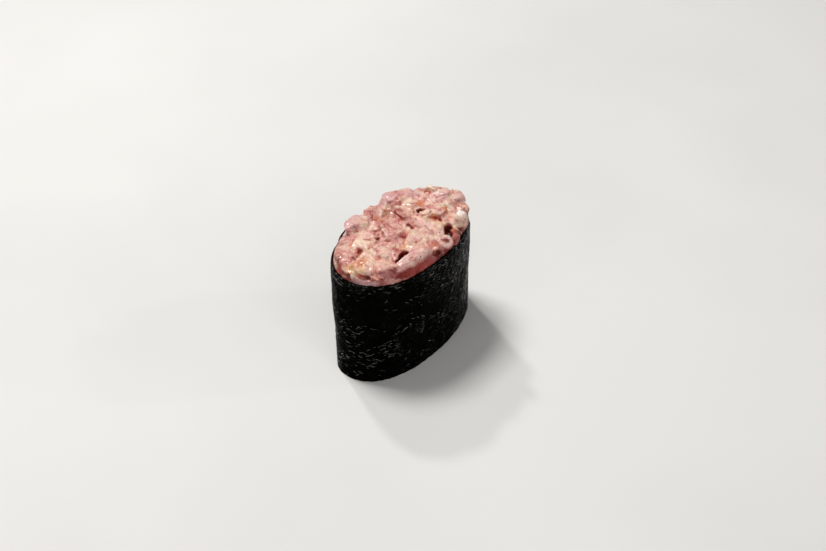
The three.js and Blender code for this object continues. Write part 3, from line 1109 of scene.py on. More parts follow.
@dataclass
class TunaHeap:
    """The chopped tuna: a plug in the wrap, heaped with dressed chunks to above the rim."""

    wall: Wall
    finish: TunaFinish
    chunks: tuple[Chunk, ...] = (
        # The long bare strip along the near side, then the rest of that side to the far end
        Chunk(-11.9, -10.4, 33.5, (14.4, 4.6, 5.6), -15, 6, Coat.BARE, 0.8, True),
        Chunk(-3.2, -11.2, 33.0, (4.6, 4.6, 4.8), 0, 0, Coat.DRESSED, 0.7),
        Chunk(0.2, -12.3, 33.0, (4.4, 3.4, 3.6), 5, 0, Coat.BARE, 0.55, True),
        Chunk(4.4, -12.8, 32.7, (4.6, 3.0, 4.0), 5, 0, Coat.BARE, 0.2, True),
        Chunk(10.8, -11.2, 34.5, (4.5, 3.7, 5.7), 20, 0, Coat.CREAMY, 1.0, True),
        Chunk(17.0, -8.0, 33.2, (5.4, 4.6, 4.8), 45, 0, Coat.THIN, 0.65),
        # The far end and the far side
        Chunk(19.2, -4.4, 34.2, (5.6, 5.2, 5.8), 70, 0, Coat.THIN, 0.8),
        Chunk(17.0, -0.2, 34.6, (8.5, 6.5, 5.8), 100, -4, Coat.DRESSED, 0.65),
        Chunk(15.4, 4.6, 34.0, (6.4, 5.2, 5.4), 130, 5, Coat.THIN, 0.6),
        Chunk(12.0, 7.8, 34.2, (7.6, 6.0, 5.6), 155, 0, Coat.DRESSED, 0.65),
        Chunk(8.8, 9.0, 34.2, (8.0, 6.2, 5.8), 168, 0, Coat.THIN, 0.7, True),
        Chunk(0.2, 9.4, 34.0, (8.0, 6.2, 5.6), 12, 6, Coat.THIN, 0.75),
        Chunk(-7.2, 10.3, 34.6, (8.6, 6.2, 5.4), 4, 0, Coat.DRESSED, 0.85),
        Chunk(-12.8, 8.8, 32.6, (8.0, 6.4, 5.2), 16, 0, Coat.THIN, 0.45),
        Chunk(-19.0, 6.0, 32.8, (7.6, 6.4, 5.2), 40, 0, Coat.DRESSED, 0.6),
        # The near end, with a lip below a thick pale ledge
        Chunk(-22.0, 2.4, 32.8, (6.6, 5.6, 5.2), 78, 0, Coat.THIN, 0.5),
        Chunk(-21.2, -1.6, 33.6, (7.6, 6.6, 4.6), 92, 0, Coat.CREAMY, 1.0),
        Chunk(-21.9, -4.0, 32.5, (8.2, 4.6, 3.6), 112, 0, Coat.THIN, 0.5),
        Chunk(-18.6, -6.6, 33.2, (8.0, 5.8, 5.2), 138, 0, Coat.DRESSED, 0.65),
        # The middle
        Chunk(-12.4, -1.8, 33.9, (9.0, 7.0, 5.2), 150, 0, Coat.DRESSED, 0.7),
        Chunk(-4.4, 0.6, 34.5, (10.6, 8.2, 4.8), 30, 0, Coat.THIN, 0.62),
        Chunk(-2.8, -6.8, 34.3, (9.4, 6.6, 5.0), 15, 0, Coat.DRESSED, 0.7),
        Chunk(9.0, -3.8, 34.8, (8.8, 7.2, 5.2), 160, 0, Coat.DRESSED, 0.7),
        Chunk(3.6, -7.2, 34.1, (5.4, 4.6, 4.8), 60, 0, Coat.CREAMY, 0.9),
        Chunk(-12.6, 4.2, 33.7, (9.0, 7.0, 5.0), 40, 0, Coat.CREAMY, 0.8),
        Chunk(4.4, 3.6, 34.2, (6.6, 5.6, 5.0), 60, 0, Coat.DRESSED, 0.6),
        Chunk(13.2, 0.4, 34.9, (6.6, 5.6, 4.8), 20, 0, Coat.DRESSED, 0.7),
        Chunk(14.8, -3.4, 34.9, (5.6, 5.0, 4.6), 130, 0, Coat.DRESSED, 0.75),
        # A thin flake that stands up at the far end
        Chunk(16.7, 1.6, 37.6, (4.6, 1.4, 0.9), 100, 12, Coat.CREAMY, 0.9),
    )
    gaps: tuple[Gap, ...] = (
        Gap((7.8, -0.2), (7.2, -1.7), 1.4, 4.0),
        Gap((4.0, -11.8), (5.9, -10.6), 2.2, 2.4),
        Gap((-14.9, -8.2), (-10.2, -7.5), 1.1, 1.7),
        Gap((-5.4, -13.2), (-4.5, -13.7), 1.6, 1.4, 33.8),
        Gap((5.7, 7.8), (0.3, 6.2), 1.6, 0.8),
        Gap((0.7, -1.3), (-0.8, -3.8), 0.9, 1.4),
        Gap((-15.8, 3.0), (-18.2, 2.3), 1.0, 0.9),
        Gap((-14.7, 0.6), (-16.1, -2.2), 0.9, 0.5),
        Gap((7.5, -7.1), (7.0, -8.0), 0.7, 0.9),
        Gap((6.0, -4.9), (6.8, -6.2), 0.6, 0.6),
        Gap((8.2, 7.2), (8.0, 6.9), 0.7, 0.7),
        Gap((6.7, 5.3), (6.5, 5.1), 0.7, 0.7),
        Gap((7.9, -12.6), (8.4, -13.2), 0.9, 1.0, 33.8),
        Gap((-9.5, 2.0), (-9.2, 1.6), 0.8, 1.2),
        Gap((18.9, -4.6), (20.6, -3.5), 0.9, 0.8),
        Gap((-24.6, -1.1), (-23.6, -5.0), 1.2, 1.0, 33.5),
        Gap((-0.3, -13.0), (-0.4, -13.2), 0.9, 0.9, 34.1),
        Gap((-23.0, -5.8), (-20.3, -9.2), 0.9, 0.6, 32.9),
    )
    stains: tuple[Stain, ...] = (
        # Broad pale and rosy places
        Stain(8.5, 4.5, 3.0, Tint.CREAM, 0.6),
        Stain(-14.8, 2.8, 2.2, Tint.CREAM, 0.5),
        Stain(-15.8, 0.6, 1.8, Tint.CREAM, 0.6),
        Stain(-18.4, -1.6, 1.8, Tint.CREAM, 0.7),
        Stain(-16.5, 7.8, 2.4, Tint.CREAM, 0.5),
        Stain(-8.6, -6.0, 1.8, Tint.YELLOW, 0.6),
        Stain(13.6, -5.2, 2.0, Tint.CREAM, 0.8),
        Stain(5.5, -8.6, 1.8, Tint.YELLOW, 0.5),
        Stain(-5.0, 12.0, 3.4, Tint.LILAC, 0.6),
        Stain(7.4, 9.9, 3.2, Tint.LILAC, 0.6),
        Stain(-9.3, 10.6, 2.6, Tint.LILAC, 0.6),
        Stain(19.3, -6.4, 2.4, Tint.LILAC, 0.6),
        Stain(15.8, -2.0, 2.6, Tint.LILAC, 0.6),
        Stain(13.0, 5.6, 2.6, Tint.LILAC, 0.5),
        Stain(1.9, -5.6, 2.8, Tint.LILAC, 0.5),
        Stain(-2.2, 0.0, 3.4, Tint.ROSE, 0.35),
        Stain(-20.4, -7.6, 3.0, Tint.ROSE, 0.45),
        Stain(-13.2, 8.6, 2.2, Tint.ROSE, 0.6),
        Stain(-19.5, 5.4, 2.6, Tint.ROSE, 0.5),
        Stain(-23.6, -5.4, 3.0, Tint.LILAC, 0.8, 0.0, 32.8),
        Stain(-24.2, -2.0, 2.4, Tint.LILAC, 0.6, 0.0, 32.6),
        Stain(-10.4, 2.6, 2.0, Tint.ROSE, 0.5),
        # The pale ledge, the white bulge, whose top is painted whiter as highlight, and the flake
        Stain(-23.6, 0.5, 2.0, Tint.YELLOW, 0.9, 33.6),
        Stain(-23.8, -2.5, 1.6, Tint.YELLOW, 0.8, 34.0),
        # Painted highlight: the bulge's top is made whiter than its pale dressing
        Stain(10.8, -11.0, 2.1, Tint.WHITE_AND_HIGHLIGHT, 1.0, 35.6),
        Stain(9.4, -12.5, 1.8, Tint.CREAM, 0.7, 34.4),
        Stain(16.4, 2.0, 2.4, Tint.CREAM, 1.0, 37.0),
        # Oily and brown spots, with brown painted shade in the groove beside the pointed lump
        Stain(10.2, 1.3, 1.4, Tint.OIL, 0.95),
        Stain(-1.8, 6.9, 1.2, Tint.OIL, 1.0),
        # Brown painted shade in the groove beside the pointed lump
        Stain(2.5, 6.8, 2.0, Tint.BROWN_AND_SHADE, 0.9),
        Stain(4.4, 7.6, 1.6, Tint.BROWN_AND_SHADE, 0.9),
        Stain(-9.2, 8.8, 1.0, Tint.BROWN_AND_SHADE, 0.6),
        Stain(-21.8, -0.7, 2.2, Tint.OIL, 0.95, 34.6),
        Stain(-19.2, 0.6, 1.5, Tint.OIL, 0.7),
        Stain(-21.8, 6.2, 1.4, Tint.BROWN_AND_SHADE, 0.7),
        Stain(6.7, -5.4, 1.1, Tint.OIL, 0.9),
        Stain(11.3, -6.3, 1.2, Tint.OIL, 1.0),
        Stain(16.4, -7.3, 1.7, Tint.BROWN_AND_SHADE, 0.7),
        Stain(6.6, -11.9, 1.2, Tint.OIL, 0.95, 33.6),
        Stain(-3.5, -12.3, 2.4, Tint.SALMON, 0.7, 33.8),
        # Red flesh and painted shade: deep red in the dips and on the near side beside the nori, maroon in
        # the deepest gaps
        Stain(-15.8, 3.0, 1.5, Tint.RED_FLESH_AND_SHADE, 1.0, 0.0, 35.0),
        Stain(-11.2, 3.1, 1.4, Tint.RED_FLESH_AND_SHADE, 0.85),
        Stain(-23.4, 4.8, 2.0, Tint.RED_FLESH_AND_SHADE, 1.0),
        Stain(-11.8, -5.7, 1.7, Tint.RED_FLESH_AND_SHADE, 0.95),
        Stain(-11.2, -7.0, 1.8, Tint.MAROON_SHADE, 0.9, 0.0, 35.2),
        Stain(0.2, -2.8, 1.5, Tint.RED_FLESH_AND_SHADE, 1.0),
        Stain(7.7, 5.9, 1.0, Tint.RED_FLESH_AND_SHADE, 0.8),
        # Painted shade on the near side, deep red down to the nori
        Stain(-8.0, -14.0, 2.6, Tint.RED_FLESH_AND_SHADE, 0.9, 0.0, 34.4),
        Stain(-10.8, -13.3, 2.4, Tint.RED_FLESH_AND_SHADE, 0.9, 0.0, 34.2),
        Stain(-13.8, -12.4, 2.4, Tint.RED_FLESH_AND_SHADE, 0.8, 0.0, 34.0),
        Stain(4.2, -14.8, 2.0, Tint.RED_FLESH_AND_SHADE, 0.6, 0.0, 34.0),
        Stain(-4.6, -14.2, 2.4, Tint.MAROON_SHADE, 0.95, 0.0, 34.0),
        Stain(6.2, -10.0, 1.6, Tint.MAROON_SHADE, 0.8, 0.0, 34.6),
        Stain(8.4, -12.9, 1.5, Tint.MAROON_SHADE, 1.0, 0.0, 34.0),
        Stain(-22.9, -4.2, 1.2, Tint.MAROON_SHADE, 0.7, 32.6, 34.2),
    )

    # Shapes, in mm: the chunks' skin, the small bits on them, the curled piece, the drip and the plug
    waviness: float = 0.07
    blockiness: float = 0.74
    flatness: float = 0.55
    cuts: int = 6
    roll_spread: float = 0.2
    bits: Scatter = Scatter(22, 3.4, 6.2, 200)
    shreds: Scatter = Scatter(36, 1.1, 2.4, 400)
    bit_inset: float = 5.0
    bit_sink: float = 0.25
    swell: Grain = Grain(3.0, 53.0, 2, 0.3)
    tears: Grain = Grain(1.3, 59.0, 2)
    tear_height: float = 0.2
    gap_edge: Grain = Grain(1.6, 67.0, 2, 0.35)
    gap_limits: tuple[float, float] = (0.3, 0.62)
    lumps: Grain = Grain(1.1, 29.0, 2, 0.12)
    bare_roughness: float = 0.3
    curl_middle: tuple[float, float, float] = (0.2, -13.5, 34.4)
    curl_right: tuple[float, float, float] = (0.6, -0.8, 0.0)
    curl_up: tuple[float, float, float] = (0.4, 0.3, 0.87)
    curl_radius: float = 1.4
    curl_thickness: float = 1.6
    curl_steps: int = 13
    drip_middle: tuple[float, float, float] = (-24.1, -0.4, 33.0)
    drip_size: tuple[float, float, float] = (1.3, 1.5, 3.0)
    voxel: float = 0.21
    skirt: float = 2.4
    floor: float = 17.35
    core_inset: float = 0.05
    plug_inset: float = 1.0

    # The dressing, in mm: the gaps that it fills, how it thins and how one lump's coat fades to the next
    sauce_radius: float = 0.6
    thin_spots: Grain = Grain(2.4, 5.0, 2, 0.28)
    thin_patches: Grain = Grain(6.0, 8.0, 1, 0.2)
    film_patches: Grain = Grain(2.6, 19.0, 3)
    film_cover: float = 0.75
    film_base: float = 0.25
    film_limits: tuple[float, float] = (-0.3, 0.7)
    sauce_edge: Grain = Grain(1.2, 17.0, 2, 0.1)
    sauce_depth: float = 0.5
    sauce_gap_limits: tuple[float, float] = (0.5, 0.95)
    sauce_gap_depth: float = 0.3
    low_coat: float = 0.3
    fade: float = 0.03
    seam: float = 0.08
    seam_depth: float = 0.5
    seam_shade: float = 0.32
    seam_patches: Grain = Grain(4.0, 33.0)

    # The colour: tones run from 0, deep red, to 1, pale pink; steep sides and the near foot get painted shade
    # here
    tone_patches: Grain = Grain(3.0, 13.0, 2, 0.35)
    tone_spots: Grain = Grain(1.3, 15.0, 2, 0.3)
    steep_shade_tone: float = -0.35
    bare_steep_shade_tone: float = -0.4
    blush_tone: float = -0.25
    near_foot_shade_tone: float = -0.5
    curl_tone: float = 0.5
    blush_patches: Grain = Grain(2.4, 37.0, 2)
    blush_limits: tuple[float, float] = (0.15, 0.5)
    steep_limits: tuple[float, float] = (0.1, 0.6)
    bare_steep_shift: float = 0.15
    foot_reach: tuple[float, float] = (9.0, 12.0)
    foot_heights: tuple[float, float] = (0.9, 2.7)
    curl_limits: tuple[float, float] = (1.6, 2.8)
    stain_edge: Grain = Grain(1.5, 71.0, 2, 0.5)
    gap_radius: float = 1.6
    crease_shade_reach: float = 2.4
    top_gloss: float = 0.5
    side_gloss: float = 0.1
    bare_chop: float = 0.15
    dressed_chop: float = 0.6
    laid: list[Lump] = field(default_factory=list)

    def matrix_of(self, seed: int, chunk: Chunk) -> Matrix:
        """Work out how a ball of radius one half is laid down as a chunk.

        Args:
            seed: Number that sets the chunk's roll.
            chunk: The chunk.

        Returns:
            The matrix.
        """
        middle = Vector((chunk.x + self.wall.shift_x, chunk.y + self.wall.shift_y, chunk.z))
        return (
            Matrix.Translation(middle)
            @ Matrix.Rotation(math.radians(chunk.heading), 4, "Z")
            @ Matrix.Rotation(math.radians(-chunk.pitch), 4, "Y")
            @ Matrix.Rotation(self.roll_spread * either(seed, 14), 4, "X")
            @ Matrix.Diagonal((*chunk.size, 1))
        )

    def add_chunk(
        self, bm: bmesh.types.BMesh, seed: int, matrix: Matrix, detail: int, is_round: bool = False
    ) -> None:
        """Add one chunk: a ball with flat cut sides and a lumpy skin.

        Args:
            bm: The bmesh to add to.
            seed: Number that sets the chunk's own shape.
            matrix: Lays the ball down at the chunk's place and size.
            detail: Fineness of the ball.
            is_round: Whether the chunk is left round, without the cut sides.
        """
        lay = np.array(matrix)
        power = np.array([self.blockiness, self.blockiness, self.blockiness if is_round else self.flatness])

        def shape(points: np.ndarray) -> np.ndarray:
            """Lump, square and cut the ball, and lay it down.

            Args:
                points: The ball's points, one a row.

            Returns:
                Their new places.
            """
            waves = sum(
                np.sin(pace * points[:, axis] + 9 * chance(seed, 11 + axis))
                for axis, pace in enumerate((7, 8, 6))
            )
            body = np.sign(points) * np.abs(2 * points) ** power / 2
            body *= (1 + self.waviness * waves / 2)[:, None]
            for cut in range(0 if is_round else self.cuts + 1):
                turn = 2 * math.pi * (cut + 0.4 * either(seed, 70 + cut)) / self.cuts
                way = Vector((math.cos(turn), math.sin(turn), 0.35 * either(seed, 80 + cut)))
                if cut == self.cuts:
                    way = Vector((0.3 * either(seed, 91), 0.3 * either(seed, 92), 1))
                way.normalize()
                over = body @ np.array(way) - (0.36 + 0.1 * chance(seed, 95 + cut))
                body -= np.outer(np.maximum(over, 0), way)
            return body @ lay[:3, :3].T + lay[:3, 3]

        add_ball(bm, detail, shape)

    def add_curl(self, bm: bmesh.types.BMesh) -> None:
        """Add the curled piece on the near side, as balls that run together along an arc.

        Args:
            bm: The bmesh to add to.
        """
        for step in range(self.curl_steps):
            angle = math.radians(-110 + 20 * step)
            arm = math.cos(angle) * np.array(self.curl_right) + math.sin(angle) * np.array(self.curl_up)
            middle = np.array(self.curl_middle) + self.curl_radius * arm
            width = self.curl_thickness * (1 - 0.02 * step)
            add_ball(bm, 3, lambda ball, m=middle, w=width: ball * w + m)

    def add_drip(self, bm: bmesh.types.BMesh) -> None:
        """Add the drop of dressing that hangs from the pale ledge at the near end."""
        add_ball(bm, 3, lambda ball: ball * np.array(self.drip_size) + np.array(self.drip_middle))

    def add_core(self, bm: bmesh.types.BMesh) -> None:
        """Add the plug under the chunks, a drum that follows the wall and domes over the rim.

        Args:
            bm: The bmesh to add to.
        """
        foot = (1 - self.skirt / self.wall.height, 0.0, 1.0)
        dome = ((1.0, 0.0, 1.0), (1.0, 1.6, 0.96), (1.0, 3.1, 0.82), (1.0, 3.7, 0.45))
        self.wall.add_drum(bm, (foot, *dome), self.core_inset)

    def add_bits(self, bm: bmesh.types.BMesh, ground: BVHTree, bits: Scatter) -> None:
        """Add small cut bits that lie on the larger chunks.

        Args:
            bm: The bmesh to add to.
            ground: Search tree of the skin that they lie on.
            bits: Their number, sizes and seed.
        """
        half = np.array([self.wall.rim_length, self.wall.rim_width]) / 2 - self.bit_inset
        middle = np.array([self.wall.lean + self.wall.shift_x, self.wall.shift_y])
        for index in range(bits.count):
            x, y = middle + half * np.array(spiral(index, bits.count))
            place, normal, _, _ = ground.ray_cast(Vector((x, y, 60)), Vector((0, 0, -1)))
            if self.is_clear(place) or normal.z < 0.88:
                continue
            seed = bits.seed + index
            length = bits.between(chance(seed, 61))
            width = length * (0.5 + 0.3 * chance(seed, 62))
            thickness = width * (0.3 + 0.15 * chance(seed, 63))
            matrix = (
                Matrix.Translation(place - self.bit_sink * normal)
                @ Vector((0, 0, 1)).rotation_difference(normal).to_matrix().to_4x4()
                @ Matrix.Rotation(2 * math.pi * chance(seed, 65), 4, "Z")
                @ Matrix.Rotation(0.3 * either(seed, 66), 4, "Y")
                @ Matrix.Diagonal((length, width, thickness, 1))
            )
            self.add_chunk(bm, seed, matrix, 3)
            self.laid.append(Lump(matrix, 0.2 + 0.3 * either(seed, 67), 0.45 + 0.5 * chance(seed, 68)))

    def is_clear(self, place: Vector) -> bool:
        """Find whether a place lies on a chunk that is kept clear of small bits.

        Args:
            place: The place in mm.

        Returns:
            Whether it does.
        """
        for seed, chunk in enumerate(self.chunks):
            if chunk.is_round or chunk.coat is Coat.CREAMY:
                local = self.matrix_of(seed, chunk).inverted() @ place
                if local.length < 0.6:
                    return True
        return False

    def above_rim(self, points: np.ndarray, low: float, high: float) -> np.ndarray:
        """Return 0 for points below a height over the rim and 1 for those above another."""
        return smoothstep(points[:, 2], self.wall.height + low, self.wall.height + high)

    def flesh(self) -> bpy.types.Mesh:
        """Make one torn skin round the plug and the chunks, with the gaps pressed in.

        Returns:
            Its mesh.
        """
        bm = bmesh.new()
        self.add_core(bm)
        for seed, chunk in enumerate(self.chunks):
            matrix = self.matrix_of(seed, chunk)
            self.add_chunk(bm, seed, matrix, 4, chunk.is_round)
            self.laid.append(Lump(matrix, chunk.coat.value, chunk.tone, chunk.coat is Coat.BARE))
        mesh = voxel_skin(mesh_of(bm, "flesh"), self.voxel)
        bm = bmesh.new()
        bm.from_mesh(mesh)
        ground = tree_of(mesh)
        self.add_bits(bm, ground, self.bits)
        self.add_bits(bm, ground, self.shreds)
        bpy.data.meshes.remove(mesh)
        mesh = voxel_skin(mesh_of(bm, "flesh"), self.voxel)
        points = points_of(mesh)
        rough = self.roughness(self.is_bare(self.radii(points)))
        torn = self.swell.at(points) + self.tear_height * (0.3 - np.abs(self.tears.at(points)))
        torn = torn * rough * self.above_rim(points, 0.0, 1.5)
        points = points + normals_of(mesh) * torn[:, None]
        edge = self.gap_edge.at(points)
        for gap in self.gaps:
            press = 1 - smoothstep(gap.away(points) + edge, *self.gap_limits)
            press = press * gap.depth * self.above_rim(points, -0.5, 1.0)
            points += press[:, None] * gap.way()
        set_points(mesh, points)
        relax(mesh)
        return mesh

    def radii(self, points: np.ndarray) -> np.ndarray:
        """Return how far points lie from the middle of each lump in its own sizes, a lump a row."""
        return np.array([np.linalg.norm(lump.local(points), axis=1) for lump in self.laid])

    def is_bare(self, radii: np.ndarray) -> np.ndarray:
        """Return whether the lump that each point belongs to is bare, from its distance to all of them."""
        return np.array([lump.is_bare for lump in self.laid])[radii.argmin(axis=0)]

    def roughness(self, bare: np.ndarray) -> np.ndarray:
        """Return how rough the skin is at points, from whether they are on bare lumps, which are smooth."""
        return np.where(bare, self.bare_roughness, 1.0)

    def lie(self, points: np.ndarray, radii: np.ndarray) -> np.ndarray:
        """Find where points lie in the axes of the lump that each belongs to.

        Args:
            points: Places in mm, one a row.
            radii: Their distances from the lumps, as radii gives them.

        Returns:
            Their places in those axes, in mm.
        """
        owner = radii.argmin(axis=0)
        lie = np.zeros_like(points)
        for index, lump in enumerate(self.laid):
            own = owner == index
            lie[own] = lump.local(points[own]) * np.array(lump.matrix.to_scale())
        return lie

    def shares(self, radii: np.ndarray) -> np.ndarray:
        """Return how far each point belongs to each lump, a lump a row: shares that fade over the borders."""
        shares = np.exp((radii.min(axis=0) - radii) / self.fade)
        return shares / shares.sum(axis=0)

    def seams(self, points: np.ndarray, radii: np.ndarray) -> np.ndarray:
        """Find the open seams between lumps.

        Args:
            points: Places in mm, one a row.
            radii: Their distances from the lumps, as radii gives them.

        Returns:
            How near each place is to one, from 0 to 1.
        """
        first, second = np.partition(radii, 1, axis=0)[:2]
        is_open = smoothstep(self.seam_patches.at(points), -0.1, 0.3)
        return (1 - smoothstep(second - first, 0.0, self.seam)) * is_open * self.above_rim(points, 0.3, 1.3)

    def dressing(self, flesh: bpy.types.Mesh) -> bpy.types.Mesh:
        """Make the dressing's skin, which fills the narrow gaps and draws back from bare chunks.

        Args:
            flesh: The skin of the chunks, which is kept.

        Returns:
            The dressing's mesh.
        """
        mesh = closed_skin(flesh, self.sauce_radius, self.voxel)
        relax(mesh)
        points = points_of(mesh)
        back = np.array([lump.coat for lump in self.laid]) @ self.shares(self.radii(points))
        back = back + self.thin_spots.at(points) + self.thin_patches.at(points)
        back = self.low_coat + (back - self.low_coat) * self.above_rim(points, -1.0, 1.0)
        moved = points - normals_of(mesh) * back[:, None]
        for gap in self.gaps:
            press = 1 - smoothstep(gap.away(points), *self.sauce_gap_limits)
            press = press * (gap.depth + self.sauce_gap_depth) * self.above_rim(points, -0.5, 1.0)
            moved += press[:, None] * gap.way()
        set_points(mesh, moved)
        relax(mesh)
        return mesh

    def with_plug(self, skin: bpy.types.Mesh) -> bpy.types.Mesh:
        """Cut a skin level below the rim and carry it down to the rice as a plain plug.

        Args:
            skin: The skin, which is removed.

        Returns:
            The closed mesh.
        """
        bm = bmesh.new()
        bm.from_mesh(skin)
        bpy.data.meshes.remove(skin)
        cut = self.wall.height - 0.6 * self.skirt
        plane = {"plane_co": (0, 0, cut), "plane_no": (0, 0, 1), "clear_inner": True}
        bmesh.ops.bisect_plane(bm, geom=[*bm.verts, *bm.edges, *bm.faces], **plane)
        rim = [edge for edge in bm.edges if edge.is_boundary]
        made = bmesh.ops.extrude_edge_only(bm, edges=rim)["geom"]
        levels = (cut / self.wall.height, self.floor / self.wall.height)
        upper, lower = [[np.ptp(line) for line in self.wall.outline(level)[:2]] for level in levels]
        for vertex in [item for item in made if isinstance(item, bmesh.types.BMVert)]:
            x = vertex.co.x - self.wall.shift_x - self.wall.lean * levels[0]
            y = vertex.co.y - self.wall.shift_y
            x *= (lower[0] - 2 * self.plug_inset) / upper[0]
            y *= (lower[1] - 2 * self.plug_inset) / upper[1]
            vertex.co.x = x + self.wall.shift_x + self.wall.lean * levels[1]
            vertex.co.y = y + self.wall.shift_y
            vertex.co.z = self.floor
        bmesh.ops.edgeloop_fill(bm, edges=[edge for edge in bm.edges if edge.is_boundary])
        bmesh.ops.recalc_face_normals(bm, faces=bm.faces)
        return mesh_of(bm, "tuna")

    def stained(self, points: np.ndarray) -> np.ndarray:
        """Work out the tints.

        Args:
            points: Places in mm, one a row.

        Returns:
            A linear colour for each, with the tint's strength as a fourth number.
        """
        ragged = self.stain_edge.at(points)
        height = points[:, 2] + ragged
        tint = np.zeros((len(points), 4))
        for stain in self.stains:
            away = np.hypot(points[:, 0] - stain.x, points[:, 1] - stain.y) / stain.width
            share = stain.strength * (1 - smoothstep(away + ragged, 0.1, 1.2))
            share *= smoothstep(height, stain.bottom - 0.3, stain.bottom + 0.3)
            share *= 1 - smoothstep(height, stain.top - 0.3, stain.top + 0.3)
            total = share + tint[:, 3] * (1 - share)
            blend = (share / np.maximum(total, 1e-6))[:, None]
            tint[:, :3] += blend * (np.array(linear(stain.tint.value)[:3]) - tint[:, :3])
            tint[:, 3] = total
        return tint

    def paint(self, skin: bpy.types.Mesh, cover: np.ndarray, depth: np.ndarray) -> np.ndarray:
        """Store what the finish reads at each point of the skin, and work out its low relief.

        Args:
            skin: The heap's skin in mm.
            cover: How far its points lie over the flesh, in mm.
            depth: How far they lie below a skin that closes the gaps, in mm.

        Returns:
            How far each point is raised, in mm.
        """
        points = points_of(skin)
        radii = self.radii(points)
        shares = self.shares(radii)
        seam = self.seams(points, radii)
        bare = self.is_bare(radii)
        rough = self.roughness(bare)

        # Where the skin is steep, blushes, is the foot of the near side or is the curled piece; steep sides
        # and the near foot are painted darker as shade
        rise = normals_of(skin)[:, 2] + self.bare_steep_shift * bare
        steep = 1 - smoothstep(rise, *self.steep_limits)
        blush = smoothstep(self.blush_patches.at(points), *self.blush_limits) * (1 - bare)
        foot = smoothstep(-points[:, 1], *self.foot_reach)
        foot = foot * (1 - self.above_rim(points, *self.foot_heights))
        from_curl = np.linalg.norm(points - np.array(self.curl_middle), axis=1)
        curl = 1 - smoothstep(from_curl, *self.curl_limits)

        tones = np.array([lump.tone for lump in self.laid]) @ shares
        tones = tones + self.tone_patches.at(points) + rough * self.tone_spots.at(points)
        # Painted shade: steep sides, and the foot of the near side beside the nori, get darker and redder
        # tones; the foot also loses its dressing below
        tones += (self.steep_shade_tone + self.bare_steep_shade_tone * bare) * steep + self.blush_tone * blush
        tones += self.near_foot_shade_tone * foot + self.curl_tone * curl
        film = self.film_base - np.array([lump.coat for lump in self.laid]) @ shares
        film = film + self.film_patches.at(points) - 0.3 * steep
        sauce = smoothstep(cover + self.sauce_edge.at(points), 0.0, self.sauce_depth)
        sauce = np.maximum(sauce, self.film_cover * smoothstep(film, *self.film_limits))
        sauce *= (1 - 0.6 * blush) * (1 - 0.8 * foot) * (1 - curl)
        # Painted shade: the gap attribute darkens hollows by their depth below a skin that closes them, and
        # open seams
        gap = np.clip(depth / self.crease_shade_reach, 0, 1) * self.above_rim(points, -1.5, 0.0)
        set_attribute(skin, "sauce", sauce)
        set_attribute(skin, "gap", np.maximum(gap, self.seam_shade * seam))
        set_attribute(skin, "tone", np.clip(tones, 0, 1))
        set_attribute(skin, "stain", self.stained(points))
        set_attribute(skin, "lie", self.lie(points, radii))
        set_attribute(skin, "wet", self.top_gloss + (self.side_gloss - self.top_gloss) * steep)
        set_attribute(skin, "chopped", np.where(bare, self.bare_chop, self.dressed_chop))
        lumpy = self.lumps.at(points) * (1 - 0.5 * sauce) * self.above_rim(points, -1.0, 0.5) * rough
        return lumpy - self.seam_depth * seam

    def build(self) -> bpy.types.Object:
        """Make the finished heap.

        Returns:
            The piece.
        """
        flesh = self.flesh()
        sauce = self.dressing(flesh)
        ground = tree_of(flesh)
        bm = bmesh.new()
        bm.from_mesh(flesh)
        bm.from_mesh(sauce)
        self.add_curl(bm)
        self.add_drip(bm)
        for mesh in (flesh, sauce):
            bpy.data.meshes.remove(mesh)
        skin = voxel_skin(mesh_of(bm, "tuna"), self.voxel)
        envelope = tree_of(closed_skin(skin, self.gap_radius, 2 * self.voxel))
        skin = self.with_plug(skin)
        points = points_of(skin)
        raised = self.paint(skin, gap_to(points, ground), gap_to(points, envelope))
        set_points(skin, points + normals_of(skin) * raised[:, None])
        return finish_piece("tuna_heap", skin, self.finish.make(), "tuna_topping")


@dataclass
class Spices:
    """What is strewn through the dressing: dark ground spice and bits of chilli."""

    wall: Wall
    heap: bpy.types.Object
    specks: Scatter = Scatter(240, 0.12, 0.34, 300)
    chilli: Scatter = Scatter(18, 0.3, 0.6, 700)
    unevenness: float = 0.5

    def build(self) -> None:
        """Make the finished pieces."""
        self.strew("spice_specks", SPICE, self.specks)
        self.strew("chilli_bits", CHILLI, self.chilli)

    def strew(self, name: str, finish: CloudedFinish, grains: Scatter) -> None:
        """Strew grains over the top of the heap, half sunk in it, as one piece.

        Args:
            name: The piece's name.
            finish: Its finish.
            grains: Their number, sizes and seed.
        """
        points = points_of(self.heap.data) / MM
        normals = normals_of(self.heap.data)
        usable = np.flatnonzero((points[:, 2] > self.wall.height + 1.5) & (normals[:, 2] > -0.1))
        bm = bmesh.new()
        for index in range(grains.count):
            seed = grains.seed + index
            spot = usable[int(chance(seed, 1) * len(usable))]
            width = grains.between(chance(seed, 2) ** 2)
            size = np.array([width * (1 + 0.5 * chance(seed, 3)), width, 0.6 * width])
            turn = Matrix.Rotation(6.3 * chance(seed, 4), 3, "Z")
            stand = np.array(Vector(normals[spot]).to_track_quat("Z", "X").to_matrix() @ turn)
            middle = points[spot] + normals[spot] * 0.12 * width
            bumps = Grain(0.6, grains.seed + 3.1 * index, 1, self.unevenness)

            def shape(ball: np.ndarray) -> np.ndarray:
                """Make the ball an uneven grain and set it on the skin."""
                return (ball * (1 + bumps.at(ball))[:, None] * size) @ stand.T + middle

            add_ball(bm, 1, shape)
        finish_piece(name, mesh_of(bm, name), finish.make())


